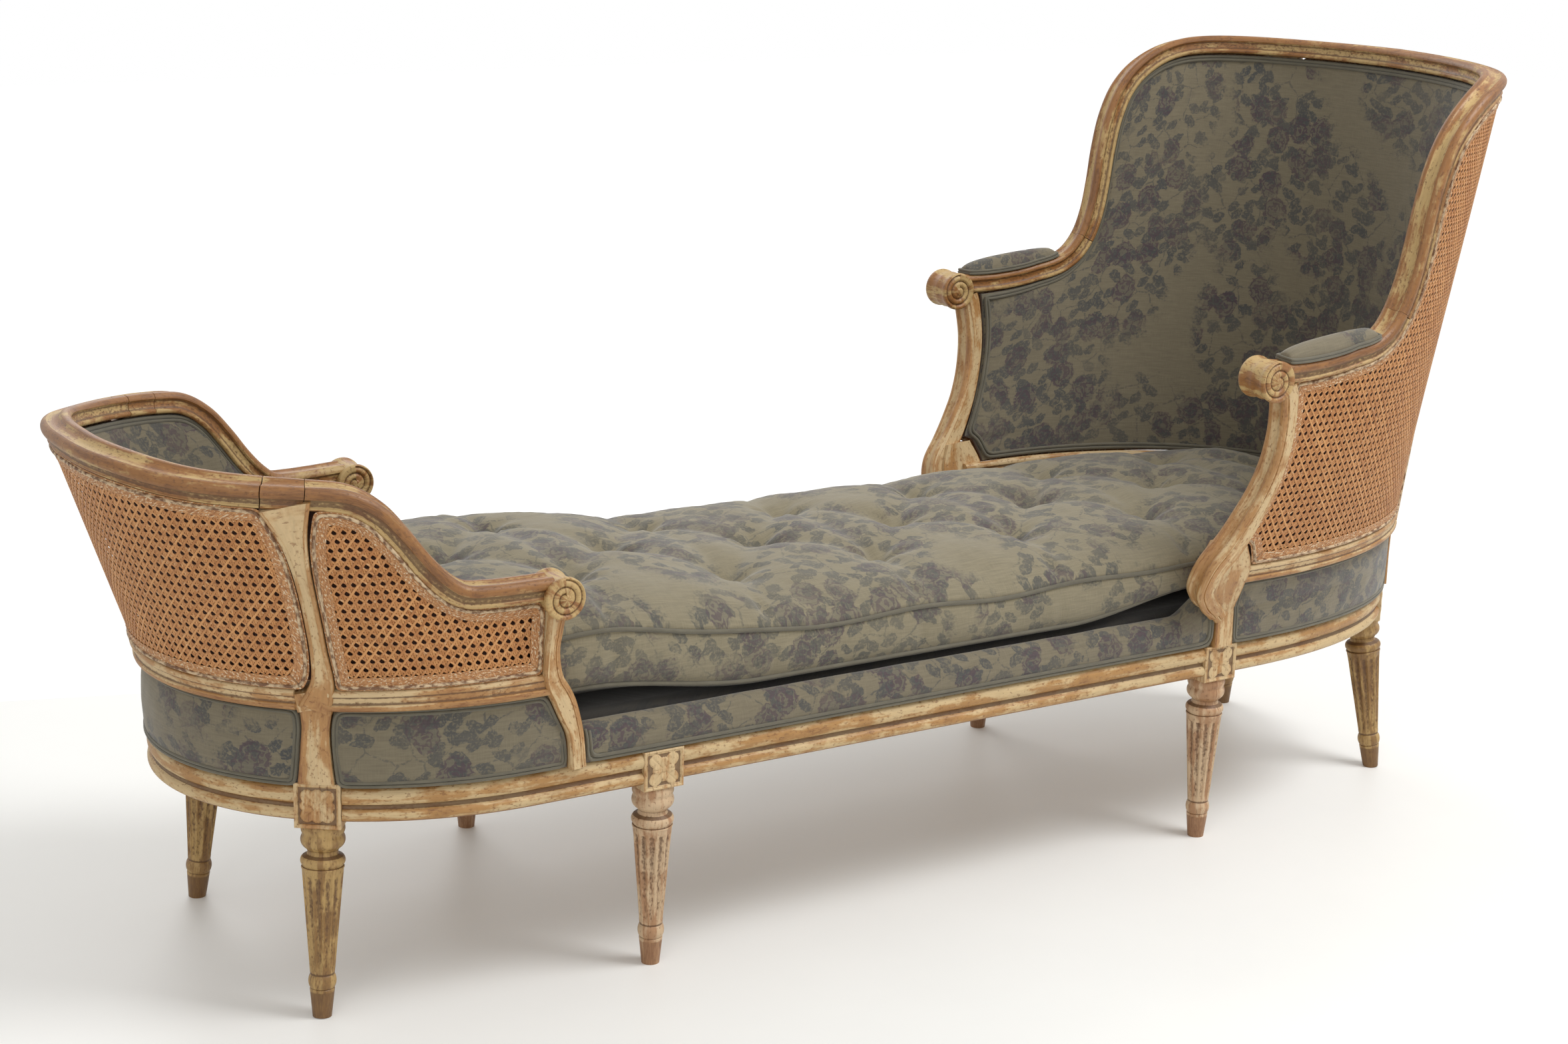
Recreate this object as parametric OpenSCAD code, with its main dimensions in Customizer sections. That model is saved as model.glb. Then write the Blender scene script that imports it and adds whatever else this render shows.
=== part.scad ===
// Caned and upholstered chaise longue on eight fluted legs.
// X runs along the length with the head end at +X, Y across, Z up, floor at Z = 0.
// "near" is the -Y side. Lengths are in millimetres, angles in degrees.

/* [Seat frame] */
// Width over the seat rails
seat_width = 548; // [500:2:600]
// Distance between the middle legs along the length
leg_gap = 854; // [760:2:940]
// Height of the underside of the seat rails
rail_bottom = 237; // [200:1:270]
// Height of the seat rails
rail_height = 41; // [34:1:50]
// Thickness of the seat rails
rail_depth = 32; // [26:1:36]
// Thickness of the cross rails
cross_rail = 28; // [20:1:34]
// Width of one webbing strip
web_width = 50; // [40:2:60]
// Thickness of the webbing
web_thick = 2; // [1.5:0.5:3]
// Thickness of the padded seat platform
platform_thick = 50; // [44:1:54]

/* [Legs] */
// Width of the carved block on top of each leg
block_width = 53; // [46:1:58]
// How far a block stands proud of the rails
block_proud = 3; // [1:0.5:5]
// How far a block hangs below the rails
block_drop = 8; // [4:1:12]
// How far the end blocks stand above the rails
block_rise = 5; // [2:1:8]
// Radius of the leg at its shoulder
leg_radius = 24.5; // [21:0.5:26]
// Radius of the leg above its foot
ankle_radius = 14.5; // [12:0.5:17]
// Radius of the foot on the floor
foot_radius = 10.8; // [9:0.2:12]
// Number of flutes round a leg
flutes = 12; // [8:1:14]
// Radius of a flute
flute_radius = 3; // [2:0.25:3.25]
// Outward lean of the foot-end legs
foot_splay = 5; // [0:0.5:8]
// Outward lean of the head-end legs
head_splay = 8; // [0:0.5:10]

/* [Foot end] */
// From the middle leg to where the seat starts to curve
foot_spring_low = 168; // [150:1:190]
// Depth of the curve at the seat
foot_depth_low = 342; // [300:1:370]
// From the middle leg to where the crest starts to curve
foot_spring_high = 230; // [200:1:250]
// Depth of the curve at the crest
foot_depth_high = 372; // [340:1:400]
// Half width of the wall at the crest
foot_half_high = 280; // [276:1:300]
// Height at which that half width is measured
foot_top = 650; // [620:2:680]
// Height of the crest rail in the middle
foot_crest_mid = 647; // [635:1:670]
// Height of the crest rail at the stiles
foot_crest_side = 629; // [615:1:640]
// Height of the low part of the arms
foot_arm_height = 500; // [480:1:520]
// Radius of the arm scrolls
foot_scroll_radius = 25; // [20:0.5:28]
// From the middle leg to the centre of the scrolls
foot_scroll_x = 148; // [138:1:156]
// Place of the leg and its stile round the curve
foot_post_angle = 47; // [42:0.5:52]
// Angle by which the stile leans away as it rises
foot_stile_drift = 9; // [4:0.5:12]

/* [Head end] */
// From the middle leg to where the seat starts to curve
head_spring_low = 27; // [15:1:50]
// Depth of the curve at the seat
head_depth_low = 435; // [400:1:470]
// From the middle leg to where the crest starts to curve
head_spring_high = 235; // [215:1:250]
// Depth of the curve at the crest
head_depth_high = 272; // [240:1:300]
// Half width of the wall at the crest
head_half_high = 347; // [320:1:370]
// Height at which that half width is measured
head_top = 1000; // [960:2:1040]
// Height of the crest rail in the middle
head_crest_mid = 1010; // [980:1:1040]
// Height of the arms behind the scrolls
head_arm_height = 663; // [640:1:690]
// Radius of the arm scrolls
head_scroll_radius = 27; // [22:0.5:30]
// From the middle leg back to the centre of the scrolls
head_scroll_x = 19; // [12:1:26]
// Place of the leg and its stile round the curve
head_post_angle = 32; // [28:0.5:40]
// Height of the padding on the arms
arm_pad_height = 24; // [16:1:30]

/* [Wall rails] */
// Height of the lower cane rail
low_rail_height = 386; // [376:1:400]
// Height of a rail across its face
rail_face = 26; // [22:1:30]
// Thickness of the crest rail from front to back
crest_depth = 38; // [34:1:42]
// Share of that thickness that lies outside the wall line
crest_out = 13; // [11:1:16]
// Width of the rebated tongue beside each rail
tongue = 10; // [7:1:12]
// Width of the scrolls
scroll_width = 50; // [42:1:56]

/* [Cane and upholstery] */
// Thickness of the cane
cane_thick = 2.5; // [1.5:0.25:4]
// Thickness of the inner padding at its edges
pad_edge = 14; // [8:1:18]
// Extra thickness of the inner padding in its middle
pad_crown = 9; // [4:1:14]
// Bulge of the upholstered bands
band_bulge = 6; // [2:0.5:9]
// Height of the rolled edge of the seat
roll_height = 46; // [36:1:48]
// Width of the rolled edge
roll_width = 30; // [24:1:32]

/* [Mattress] */
// Thickness of the mattress between its two welts
mattress_edge = 60; // [50:1:80]
// Height of its crown over the upper welt
mattress_crown = 60; // [30:1:70]
// How much thicker it is at the foot end
mattress_rise = 34; // [0:2:50]
// Depth of a sewn tuft
tuft_depth = 34; // [15:1:40]
// Tufts in the middle row
tufts_long = 8; // [5:1:10]
// Distance between the rows of tufts
tuft_row = 116; // [90:2:130]
// Play between the mattress and what surrounds it
mattress_play = 5; // [4:0.5:12]
// How far its sides draw in between the welts
side_draw = 5; // [0:1:8]

/* [Hidden] */

// Sizes that follow from the ones above
seat_half = seat_width / 2;
rail_top = rail_bottom + rail_height;
block_top = rail_top + block_rise;
half_face = rail_face / 2;
lean_start = low_rail_height - half_face;
flare_start = rail_top + 52;
crest_in = crest_depth - crest_out;
tongue_out = 5;
tongue_in = 8;
seat_gap = 0.3;
face_gap = 0.8;
cane_gap = 1.2;
panel_gap = 3;
stile_gap = 4.2;
stile_ease = 1.2;
knee_gap = 0.8;
band_gap = 2.4;
front_step = 2.5;

// How square the plan of each end is, from 2 for an ellipse upward
foot_low_power = 2.0;
foot_high_power = 2.4;
head_low_power = 2.3;
head_high_power = 2.25;

// How much rounder the plan gets for each millimetre by which it flares ahead of its lean
corner_ease = 0.008;

// Colours
cream = "#c9bfa4";
ochre = "#b98c58";
linen = "#6f6c5f";
cane_tan = "#cf9f72";
jute = "#a58a5c";

// Basic functions
function unit(v) = v / norm(v);
function mix(a, b, t) = a + (b - a) * t;
function spow(v, p) = sign(v) * pow(abs(v), p);
function clamp(v, lo, hi) = max(lo, min(hi, v));
function reversed(list) = [for (i = [len(list) - 1:-1:0]) list[i]];
function part_of(list, from, to) = [for (i = [from:to]) list[i]];
function last_of(list) = list[len(list) - 1];

// A point of a list at the fraction t of its length
function along(list, t) =
    let (f = clamp(t, 0, 1) * (len(list) - 1), i = min(floor(f), len(list) - 2))
    mix(list[i], list[i + 1], f - i);

// A smooth curve through control points, with k steps in each span
function knot(P, i) = i < 0 ? 2 * P[0] - P[1]
    : i >= len(P) ? 2 * P[len(P) - 1] - P[len(P) - 2] : P[i];
function curve(P, k) = [
    for (i = [0:len(P) - 2])
        for (j = [0:k - 1])
            let (t = j / k, a = knot(P, i - 1), b = P[i], c = P[i + 1], d = knot(P, i + 2))
            0.5 * (2 * b + (c - a) * t + (2 * a - 5 * b + 4 * c - d) * t * t
                + (3 * b - a - 3 * c + d) * t * t * t),
    P[len(P) - 1]];

// Each end has one wall surface, whose plan is a superellipse that grows from the seat to
// the crest. A wall holds the direction of the end, the X of its middle legs, the height
// at which its plan is measured at the top, and the plan [spring, depth, half width,
// power] at the seat and at the top. It flares in width first and leans in depth above.
foot_low = [foot_spring_low, foot_depth_low, seat_half, foot_low_power];
foot_high = [foot_spring_high, foot_depth_high, foot_half_high, foot_high_power];
head_low = [head_spring_low, head_depth_low, seat_half, head_low_power];
head_high = [head_spring_high, head_depth_high, head_half_high, head_high_power];
function lean(w, z) = max(0, (z - lean_start) / (w[2] - lean_start));
function flare(w, z) = 1 - pow(1 - clamp((z - flare_start) / (w[2] - flare_start), 0, 1), 4);
function plan(w, z) =
    let (t = lean(w, z), f = flare(w, z), p = mix(w[3], w[4], t), gain = w[4][2] - w[3][2])
    [p[0], p[1], w[3][2] + gain * f, p[3] - corner_ease * gain * (f - t)];

// The surface point at the angle a round the end and the height z. The angle is 0 in the
// middle of the end and 90 where the curve springs, and past 90 it counts straight steps.
function wall(w, a, z) =
    let (p = plan(w, z), b = abs(a))
    let (x = b < 90 ? p[0] + p[1] * pow(cos(b), 2 / p[3]) : p[0] - (b - 90) * front_step)
    let (y = b < 90 ? p[2] * spow(sin(a), 2 / p[3]) : p[2] * sign(a))
    [w[1] + w[0] * x, y, z];

// The angle of the point that lies x beyond the middle leg at the height z, near side
function angle_of(w, x, z) =
    let (p = plan(w, z), f = (x - p[0]) / p[1])
    f <= 0 ? -90 - (p[0] - x) / front_step : -acos(pow(min(f, 1), p[3] / 2));

// The outward unit normal of the surface
function outward(w, a, z) =
    let (p = plan(w, z), b = min(abs(a), 90), e = 2 * (p[3] - 1) / p[3])
    let (h = unit([w[0] * pow(cos(b), e) / p[1], sign(a) * pow(sin(b), e) / p[2], 0]))
    let (rise = (wall(w, a, z + 1) - wall(w, a, z - 1)) / 2)
    unit([h.x, h.y, -h * rise]);

// Millimetres along the surface for one degree of angle
function per_degree(w, a, z) = norm(wall(w, a + 0.5, z) - wall(w, a - 0.5, z));

// A line on the surface, moved sideways by q and by f times each station's half width.
// Stations are [angle, z, half width, spread]. Sideways is up, or away from the middle.
function beside(w, line, q, f) = [
    for (i = [0:len(line) - 1])
        let (s = line[i], m = per_degree(w, s[0], s[1]), d = step_at(line, i))
        let (n = norm([d[0] * m, d[1]]), r = q + f * s[2])
        [s[0] - d[1] * r / n / m, s[1] + d[0] * m * r / n]];
function step_at(line, i) = line[min(i + 1, len(line) - 1)] - line[max(i - 1, 0)];

// A point at the sizes p outward and q sideways from the station i of a line
function frame_point(w, line, i, pq) =
    let (s = line[i], n = outward(w, s[0], s[1]))
    let (a = line[max(i - 1, 0)], b = line[min(i + 1, len(line) - 1)])
    let (t = unit(wall(w, b[0], b[1]) - wall(w, a[0], a[1])))
    let (side = unit(w[0] * cross(n, t)))
    wall(w, s[0], s[1]) + n * (pq[0] + s[3]) + side * pq[1];

// A closed solid over rings of points, with flat ends
module skin(rings, flip) {
    n = len(rings[0]);
    m = len(rings);
    sides = [
        for (i = [0:m - 2])
            for (j = [0:n - 1])
                let (k = (j + 1) % n, a = i * n + j, b = i * n + k)
                each [[a, b, b + n], [a, b + n, a + n]]];
    first = [for (j = [n - 1:-1:0]) j];
    last = [for (j = [0:n - 1]) (m - 1) * n + j];
    faces = concat(sides, [first, last]);
    polyhedron([for (r = rings) each r], flip ? [for (f = faces) reversed(f)] : faces);
}

// The same line without its spread
function plain(line) = [for (s = line) [s[0], s[1], s[2], 0]];

// A moulding run along the stations from..to of a line on the wall
module run(w, line, from, to, section) {
    rings = [
        for (i = [from:to])
            [for (pq = section(line[i][2])) frame_point(w, line, i, pq)]];
    skin(rings, w[0] < 0);
}

// A straight cutter through the wall, square to it at the place [angle, z]. Its outline is a
// list of such places.
module punch(w, at, outline) {
    centre = wall(w, at[0], at[1]);
    n = outward(w, at[0], at[1]);
    turn = atan2(n.y, n.x);
    across = [-sin(turn), cos(turn), 0];
    up = cross(n, across);
    depth = 4 * crest_depth;
    translate(centre) rotate([0, asin(-n.z), turn]) rotate([90, 0, 90])
        translate([0, 0, -depth / 2]) linear_extrude(depth)
            polygon([for (s = outline) let (d = wall(w, s[0], s[1]) - centre)
                [d * across, d * up]]);
}

// A curved panel stretched between four edges, from the offset p_in to p_out. The edges
// are lists of [angle, z]: low and high run from the near side on, start and stop run up.
function stretch(e, u, v) =
    mix(along(e[0], u), along(e[1], u), v) + mix(along(e[2], v), along(e[3], v), u)
    - mix(mix(e[0][0], last_of(e[0]), u), mix(e[1][0], last_of(e[1]), u), v);

module panel(w, edges, nu, nv, p_in, p_out) {
    grid = [
        for (i = [0:nu])
            [for (j = [0:nv])
                let (s = stretch(edges, i / nu, j / nv))
                [wall(w, s[0], s[1]), outward(w, s[0], s[1])]]];
    ring = 2 * (nv + 1);
    points = [
        for (i = [0:nu])
            each concat(
                [for (j = [0:nv]) grid[i][j][0] + grid[i][j][1] * p_out(i / nu, j / nv)],
                [for (j = [nv:-1:0]) grid[i][j][0] + grid[i][j][1] * p_in(i / nu, j / nv)])];
    sides = [
        for (i = [0:nu - 1])
            for (j = [0:ring - 1])
                let (k = (j + 1) % ring, a = i * ring + j, b = i * ring + k)
                each [[a, b, b + ring], [a, b + ring, a + ring]]];
    ends = [
        for (j = [0:nv - 1])
            let (k = ring - 1 - j, e = nu * ring)
            each [[j, k, k - 1], [j, k - 1, j + 1],
                [e + j, e + k - 1, e + k], [e + j, e + j + 1, e + k - 1]]];
    faces = concat(sides, ends);
    polyhedron(points, w[0] < 0 ? [for (f = faces) reversed(f)] : faces);
}

// Sections as [outward, sideways] points. The crest has a bead on its outer face and a
// hollow between two beads on top. The cane and the padding lap over the tongue under it.
crest_section = function(h) [
    [crest_out, -half_face], [crest_out, -5], [crest_out - 4, -1], [crest_out - 2, 9],
    [crest_out - 8, half_face], [-6, half_face - 2.5], [2.5 - crest_in * 0.6, half_face],
    [1 - crest_in, half_face - 4], [5 - crest_in, -2], [1 - crest_in, -8],
    [2 - crest_in, -half_face]];
crest_tongue = function(h) [
    [tongue_out, -half_face - tongue], [tongue_out, 2 - half_face],
    [-tongue_in, 2 - half_face], [-tongue_in, -half_face - tongue]];
tongued_crest = function(h) concat(crest_section(h), [
    [-tongue_in, -half_face], [-tongue_in, -half_face - tongue],
    [tongue_out, -half_face - tongue], [tongue_out, -half_face]]);

// The lower cane rail has its tongue above and its band of upholstery below
low_section = function(h) [
    [crest_out, -half_face + 3], [crest_out - 3, 0], [crest_out, 5], [crest_out - 2, half_face],
    [tongue_out, half_face], [tongue_out, half_face + tongue], [-tongue_in, half_face + tongue],
    [-tongue_in, half_face], [2 - crest_in, half_face], [-crest_in, 0],
    [2 - crest_in, -half_face], [crest_out - 3, -half_face]];

// A stile stands in front of the padding. Here h is half its width.
stile_section = function(h) [
    [crest_out - 3, -h], [crest_out, -h * 0.5], [crest_out, h * 0.5], [crest_out - 3, h],
    [-tongue_in, h], [-tongue_in, -h]];

// Tongues beside a stile, and behind an arm support
stile_tongue = function(h) [
    [tongue_out, -h - tongue], [tongue_out, h + tongue], [-tongue_in, h + tongue],
    [-tongue_in, -h - tongue]];
support_tongue = function(h) [
    [tongue_out, -h - tongue], [tongue_out, 0], [-tongue_in, 0], [-tongue_in, -h - tongue]];

// A post stands between two bands of upholstery, and a knee between two lower cane rails
post_section = function(h) [
    [crest_out - 5, -h], [crest_out - 5, h], [2 - crest_in, h], [2 - crest_in, -h]];
knee_section = function(h) [
    [crest_out - 4, -h], [crest_out - 4, h], [-crest_in, h], [-crest_in, -h]];

// An arm support has a hollow between two beads in front
support_section = function(h) [
    [crest_out - 3, -h], [crest_out, -h + 3], [crest_out, h - 5], [crest_out - 2, h - 1],
    [crest_out - 6, h], [2, h - 1], [-4, h - 4.5], [-crest_in * 0.55, h - 1], [2 - crest_in, h],
    [-crest_in, h - 3], [-crest_in, -h + 3], [2 - crest_in, -h]];

// The seat rail shows two round beads with a hollow between them
rail_section = function(h) [
    [0, 0], [2.5, h * 0.08], [3, h * 0.22], [1, h * 0.36], [-1.5, h * 0.5], [1, h * 0.62],
    [2.5, h * 0.72], [2.5, h * 0.86], [0, h], [-rail_depth, h], [-rail_depth, 0]];

// Control points of the arms and crests, near side, from the scroll back to the middle of
// the end. Points are [beyond the middle leg, height, spread].
function station(w, p) = [angle_of(w, p[0], p[1]), p[1], 1, p[2]];
foot_rise = foot_crest_side - foot_arm_height;
foot_arm_points = [
    [foot_scroll_x + 10, foot_arm_height + 1, 12], [foot_scroll_x + 45, foot_arm_height, 9],
    [foot_scroll_x + 82, foot_arm_height, 6], [foot_scroll_x + 112, foot_arm_height + 3, 4],
    [foot_scroll_x + 135, foot_arm_height + foot_rise * 0.14, 2],
    [foot_scroll_x + 157, foot_arm_height + foot_rise * 0.32, 1],
    [foot_scroll_x + 181, foot_arm_height + foot_rise * 0.56, 0],
    [foot_scroll_x + 207, foot_arm_height + foot_rise * 0.78, 0],
    [foot_scroll_x + 240, foot_arm_height + foot_rise * 0.93, 0]];
head_rise = head_crest_mid - head_arm_height;
head_arm_points = [
    [8 - head_scroll_x, head_arm_height + 2, 8], [26 - head_scroll_x, head_arm_height, 8],
    [66 - head_scroll_x, head_arm_height, 6], [116 - head_scroll_x, head_arm_height + 4, 4],
    [166 - head_scroll_x, head_arm_height + 12, 2],
    [207 - head_scroll_x, head_arm_height + 27, 1]];
head_crest_points = [
    [233 - head_scroll_x, head_arm_height + head_rise * 0.16, 0],
    [249 - head_scroll_x, head_arm_height + head_rise * 0.27, 0],
    [259 - head_scroll_x, head_arm_height + head_rise * 0.40, 0],
    [267 - head_scroll_x, head_arm_height + head_rise * 0.54, 0],
    [279 - head_scroll_x, head_arm_height + head_rise * 0.68, 0],
    [299 - head_scroll_x, head_arm_height + head_rise * 0.80, 0],
    [330 - head_scroll_x, head_arm_height + head_rise * 0.89, 0],
    [372 - head_scroll_x, head_arm_height + head_rise * 0.955, 0],
    [424 - head_scroll_x, head_arm_height + head_rise * 0.985, 0]];

// Both ends reach equally far from the origin, which fixes the place of the middle legs
function reach(plan_low, plan_high, top, mid) =
    let (k = (plan_high[0] + plan_high[1] - plan_low[0] - plan_low[1]) / (top - lean_start))
    let (a = atan(k))
    plan_low[0] + plan_low[1] + k * (mid - lean_start)
    + max([for (p = crest_section(1)) p[0] * cos(a) + p[1] * sin(a)]);
foot_reach = reach(foot_low, foot_high, foot_top, foot_crest_mid);
head_reach = reach(head_low, head_high, head_top, head_crest_mid);
foot_leg_x = -leg_gap / 2 + (foot_reach - head_reach) / 2;
head_leg_x = foot_leg_x + leg_gap;
FOOT = [-1, foot_leg_x, foot_top, foot_low, foot_high];
HEAD = [1, head_leg_x, head_top, head_low, head_high];

// Whole lines from the near scroll to the far one, with two steps in every span
function whole(half) = concat(half, [
    for (i = [len(half) - 2:-1:0]) [-half[i][0], half[i][1], half[i][2], half[i][3]]]);
foot_stile_top = foot_post_angle + foot_stile_drift;
foot_seam = 4;
foot_line = whole(curve(concat([for (p = foot_arm_points) station(FOOT, p)], [
    [-foot_stile_top - foot_seam, foot_crest_side - 3, 1, 0],
    [-foot_stile_top + foot_seam, foot_crest_side, 1, 0],
    [-36, mix(foot_crest_side, foot_crest_mid, 0.3), 1, 0],
    [-18, mix(foot_crest_side, foot_crest_mid, 0.82), 1, 0], [0, foot_crest_mid, 1, 0]]), 2));
foot_arm_end = 2 * len(foot_arm_points);
foot_crest_start = foot_arm_end + 2;
foot_line_end = len(foot_line) - 1;

head_line = whole(curve(concat([for (p = head_arm_points) station(HEAD, p)],
    [for (p = head_crest_points) station(HEAD, p)],
    [[-24, head_crest_mid - 2, 1, 0], [0, head_crest_mid, 1, 0]]), 2));
head_arm_end = 2 * len(head_arm_points);
head_line_end = len(head_line) - 1;

// Arm supports rise from the seat rail to the scrolls in a reversed curve. Points are
// [beyond the middle leg, height, half width, spread].
function support_line(w, points) = curve([
    for (p = points) [angle_of(w, p[0], p[1]), p[1], p[2], p[3]]], 2);
foot_support_foot = foot_scroll_x - 31;
foot_support_half = 10;
support_base = rail_top + 3 * seat_gap;
foot_support_top = foot_arm_height - 20;
function foot_support_at(t) = mix(rail_top, foot_support_top, t);
foot_support_line = support_line(FOOT, [
    [foot_support_foot, support_base, foot_support_half, 0],
    [foot_scroll_x - 27, foot_support_at(0.21), 10, 0],
    [foot_scroll_x - 15, foot_support_at(0.38), 13, 0],
    [foot_scroll_x + 3, foot_support_at(0.54), 12, 3],
    [foot_scroll_x + 8, foot_support_at(0.72), 9, 6],
    [foot_scroll_x + 7, foot_support_at(0.85), 9, 10],
    [foot_scroll_x + 4, foot_support_top, 11, 12]]);
head_support_top = head_arm_height - 18;
function head_support_at(t) = mix(low_rail_height, head_support_top, t);
head_support_line = support_line(HEAD, [
    [-74, head_support_at(0.02), 6, 12], [-56, head_support_at(0.085), 12, 12],
    [-36, head_support_at(0.185), 14, 10], [-17, head_support_at(0.305), 13, 8],
    [0, head_support_at(0.44), 11.5, 7], [12, head_support_at(0.595), 11, 7],
    [17, head_support_at(0.77), 11.5, 7], [13, head_support_at(0.942), 12.5, 8],
    [8, head_support_top, 13, 8]]);
head_post_half = 15;
head_post_line = support_line(HEAD, [
    [-1, support_base, head_post_half, 0], [-2, rail_top + 46, head_post_half, 0],
    [-8, lean_start, 19, 3], [-22, low_rail_height + half_face, 26, 5],
    [-26, low_rail_height + 40, 20, 6]]);

// Stiles rise from the leg blocks to the crest rails, and reach a little way into them
crest_lap = 4;
post_half = block_width / 2;
function height_at(line, a) = lookup(a, [for (s = line) if (abs(s[0]) < 62) [s[0], s[1]]]);
function stile_line(angle, drift, top, widths) = [
    for (i = [0:len(widths) - 1])
        let (z = mix(lean_start, top, i / (len(widths) - 1)))
        let (t = clamp((z - lean_start) / (top - lean_start), 0, 1))
        [-angle - drift * sqrt(t), z, widths[i], 0]];
knee_half = 20;
foot_stile_line = stile_line(foot_post_angle, foot_stile_drift,
    height_at(foot_line, -foot_stile_top) - half_face + crest_lap,
    [knee_half - 1, 14, 10, 9, 9, 10, 12, 15]);
head_stile_line = stile_line(head_post_angle, 0,
    height_at(head_line, -head_post_angle) - half_face + crest_lap,
    [knee_half - 1, 14, 11, 10, 10, 10, 10, 11, 15, 24]);

// The stations of an upright line between two heights
function between(line, low, high, n) = [
    for (i = [0:n])
        let (z = mix(low, high, i / n))
        [for (k = [0:3]) k == 1 ? z : lookup(z, [for (s = line) [s[1], s[k]]])]];
tongue_low = low_rail_height + half_face + tongue + 3 * face_gap;
function tongue_line(line, top) = plain(between(line, tongue_low, top - tongue - face_gap, 6));

// Legs and blocks
leg_top = rail_bottom - block_drop;
leg_profile = [
    [0, 0], [foot_radius, 0], [ankle_radius, 33], [ankle_radius + 1, 36], [ankle_radius + 1, 40],
    [ankle_radius, 42], [ankle_radius + 1.5, 45], [ankle_radius + 1, 50], [ankle_radius, 52],
    [leg_radius - 1.5, leg_top - 50], [leg_radius, leg_top - 46], [leg_radius, leg_top - 40],
    [leg_radius - 6.5, leg_top - 35], [leg_radius - 6.5, leg_top - 30],
    [leg_radius, leg_top - 22], [leg_radius + 0.5, leg_top - 13], [leg_radius, leg_top - 5],
    [leg_radius + 1, leg_top - 4], [leg_radius + 1, leg_top], [0, leg_top]];
shaft_low = 52;
shaft_high = leg_top - 50;
shaft_slope = atan((leg_radius - 1.5 - ankle_radius) / (shaft_high - shaft_low));

module turned_leg() {
    difference() {
        rotate_extrude($fn = 48) polygon(leg_profile);
        for (i = [0:flutes - 1])
            rotate([0, 0, i * 360 / flutes])
                translate([ankle_radius + 1.4, 0, shaft_low + 5])
                    rotate([0, shaft_slope, 0])
                        cylinder(r = flute_radius, h = shaft_high - shaft_low - 16, $fn = 24);
    }
}

// The turned leg, carried on into the block so that a lean leaves no gap there
module long_leg(splay) {
    turned_leg();
    if (splay > 0)
        translate([0, 0, leg_top]) cylinder(r = leg_radius + 1, h = block_drop, $fn = 48);
}

// A leg whose block is turned by spin, and which leans outward below its block
module leg(centre, spin, splay, top) {
    big = 4 * leg_radius;
    color(cream) {
        translate(centre) rotate([0, 0, spin])
            translate([-block_width / 2, -block_width / 2, leg_top])
                cube([block_width, block_width, top - leg_top]);
        intersection() {
            translate([centre.x, centre.y, leg_top]) rotate([0, 0, spin]) rotate([0, -splay, 0])
                translate([0, 0, -leg_top / cos(splay) - 0.2 * splay]) long_leg(splay);
            translate([centre.x - big, centre.y - big, 0])
                cube([2 * big, 2 * big, leg_top + block_drop / 2]);
        }
    }
}

module far_side() {
    mirror([0, 1, 0]) children();
}

// Centre of an end leg, inside the outer face of the rails
function end_leg_centre(w, angle) =
    let (n = outward(w, -angle, rail_bottom))
    let (c = wall(w, -angle, rail_bottom) + n * (block_proud - block_width / 2))
    [c.x, c.y, 0];
function facing(w, angle) = let (n = outward(w, -angle, rail_bottom)) atan2(n.y, n.x);
middle_leg_y = seat_half + block_proud - block_width / 2;

module end_leg(w, angle, splay) {
    leg(end_leg_centre(w, angle), facing(w, angle), splay, block_top);
}
module middle_leg(x) {
    leg([x, -middle_leg_y, 0], -90, 0, rail_top);
}

module foot_leg_near() { end_leg(FOOT, foot_post_angle, foot_splay); }
module foot_leg_far() { far_side() foot_leg_near(); }
module foot_middle_leg_near() { middle_leg(foot_leg_x); }
module foot_middle_leg_far() { far_side() foot_middle_leg_near(); }
module head_middle_leg_near() { middle_leg(head_leg_x); }
module head_middle_leg_far() { far_side() head_middle_leg_near(); }
module head_leg_near() { end_leg(HEAD, head_post_angle, head_splay); }
module head_leg_far() { far_side() head_leg_near(); }

// Seat rails
module side_rail_near() {
    color(cream)
        translate([foot_leg_x + block_width / 2, -seat_half, rail_bottom])
            rotate([90, 0, 90])
                linear_extrude(leg_gap - block_width)
                    polygon([for (p = rail_section(rail_height)) [-p[0], p[1]]]);
}
module side_rail_far() { far_side() side_rail_near(); }

// The angles at which a rail ends inside a block, on either side of the block's centre
block_lap = 8;
function in_block(w, angle, side) =
    -angle + side * (block_width / 2 - block_lap) / per_degree(w, -angle, rail_bottom);

// The space of an end leg's block, with a margin round it
module block_space(w, angle, margin) {
    size = block_width + 2 * margin;
    translate(end_leg_centre(w, angle)) rotate([0, 0, facing(w, angle)])
        translate([-size / 2, -size / 2, leg_top])
            cube([size, size, 2 * rail_height + platform_thick]);
}

// A seat rail between two angles of a wall
module curved_rail(w, from, to, n) {
    rings = [
        for (i = [0:n])
            let (a = mix(from, to, i / n), o = outward(w, a, rail_bottom))
            [for (pq = rail_section(rail_height)) wall(w, a, rail_bottom) + o * pq[0]
                + [0, 0, pq[1]]]];
    skin(rings, w[0] < 0);
}
function block_front(spring) = -90 - (spring - block_width / 2) / front_step;

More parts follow.
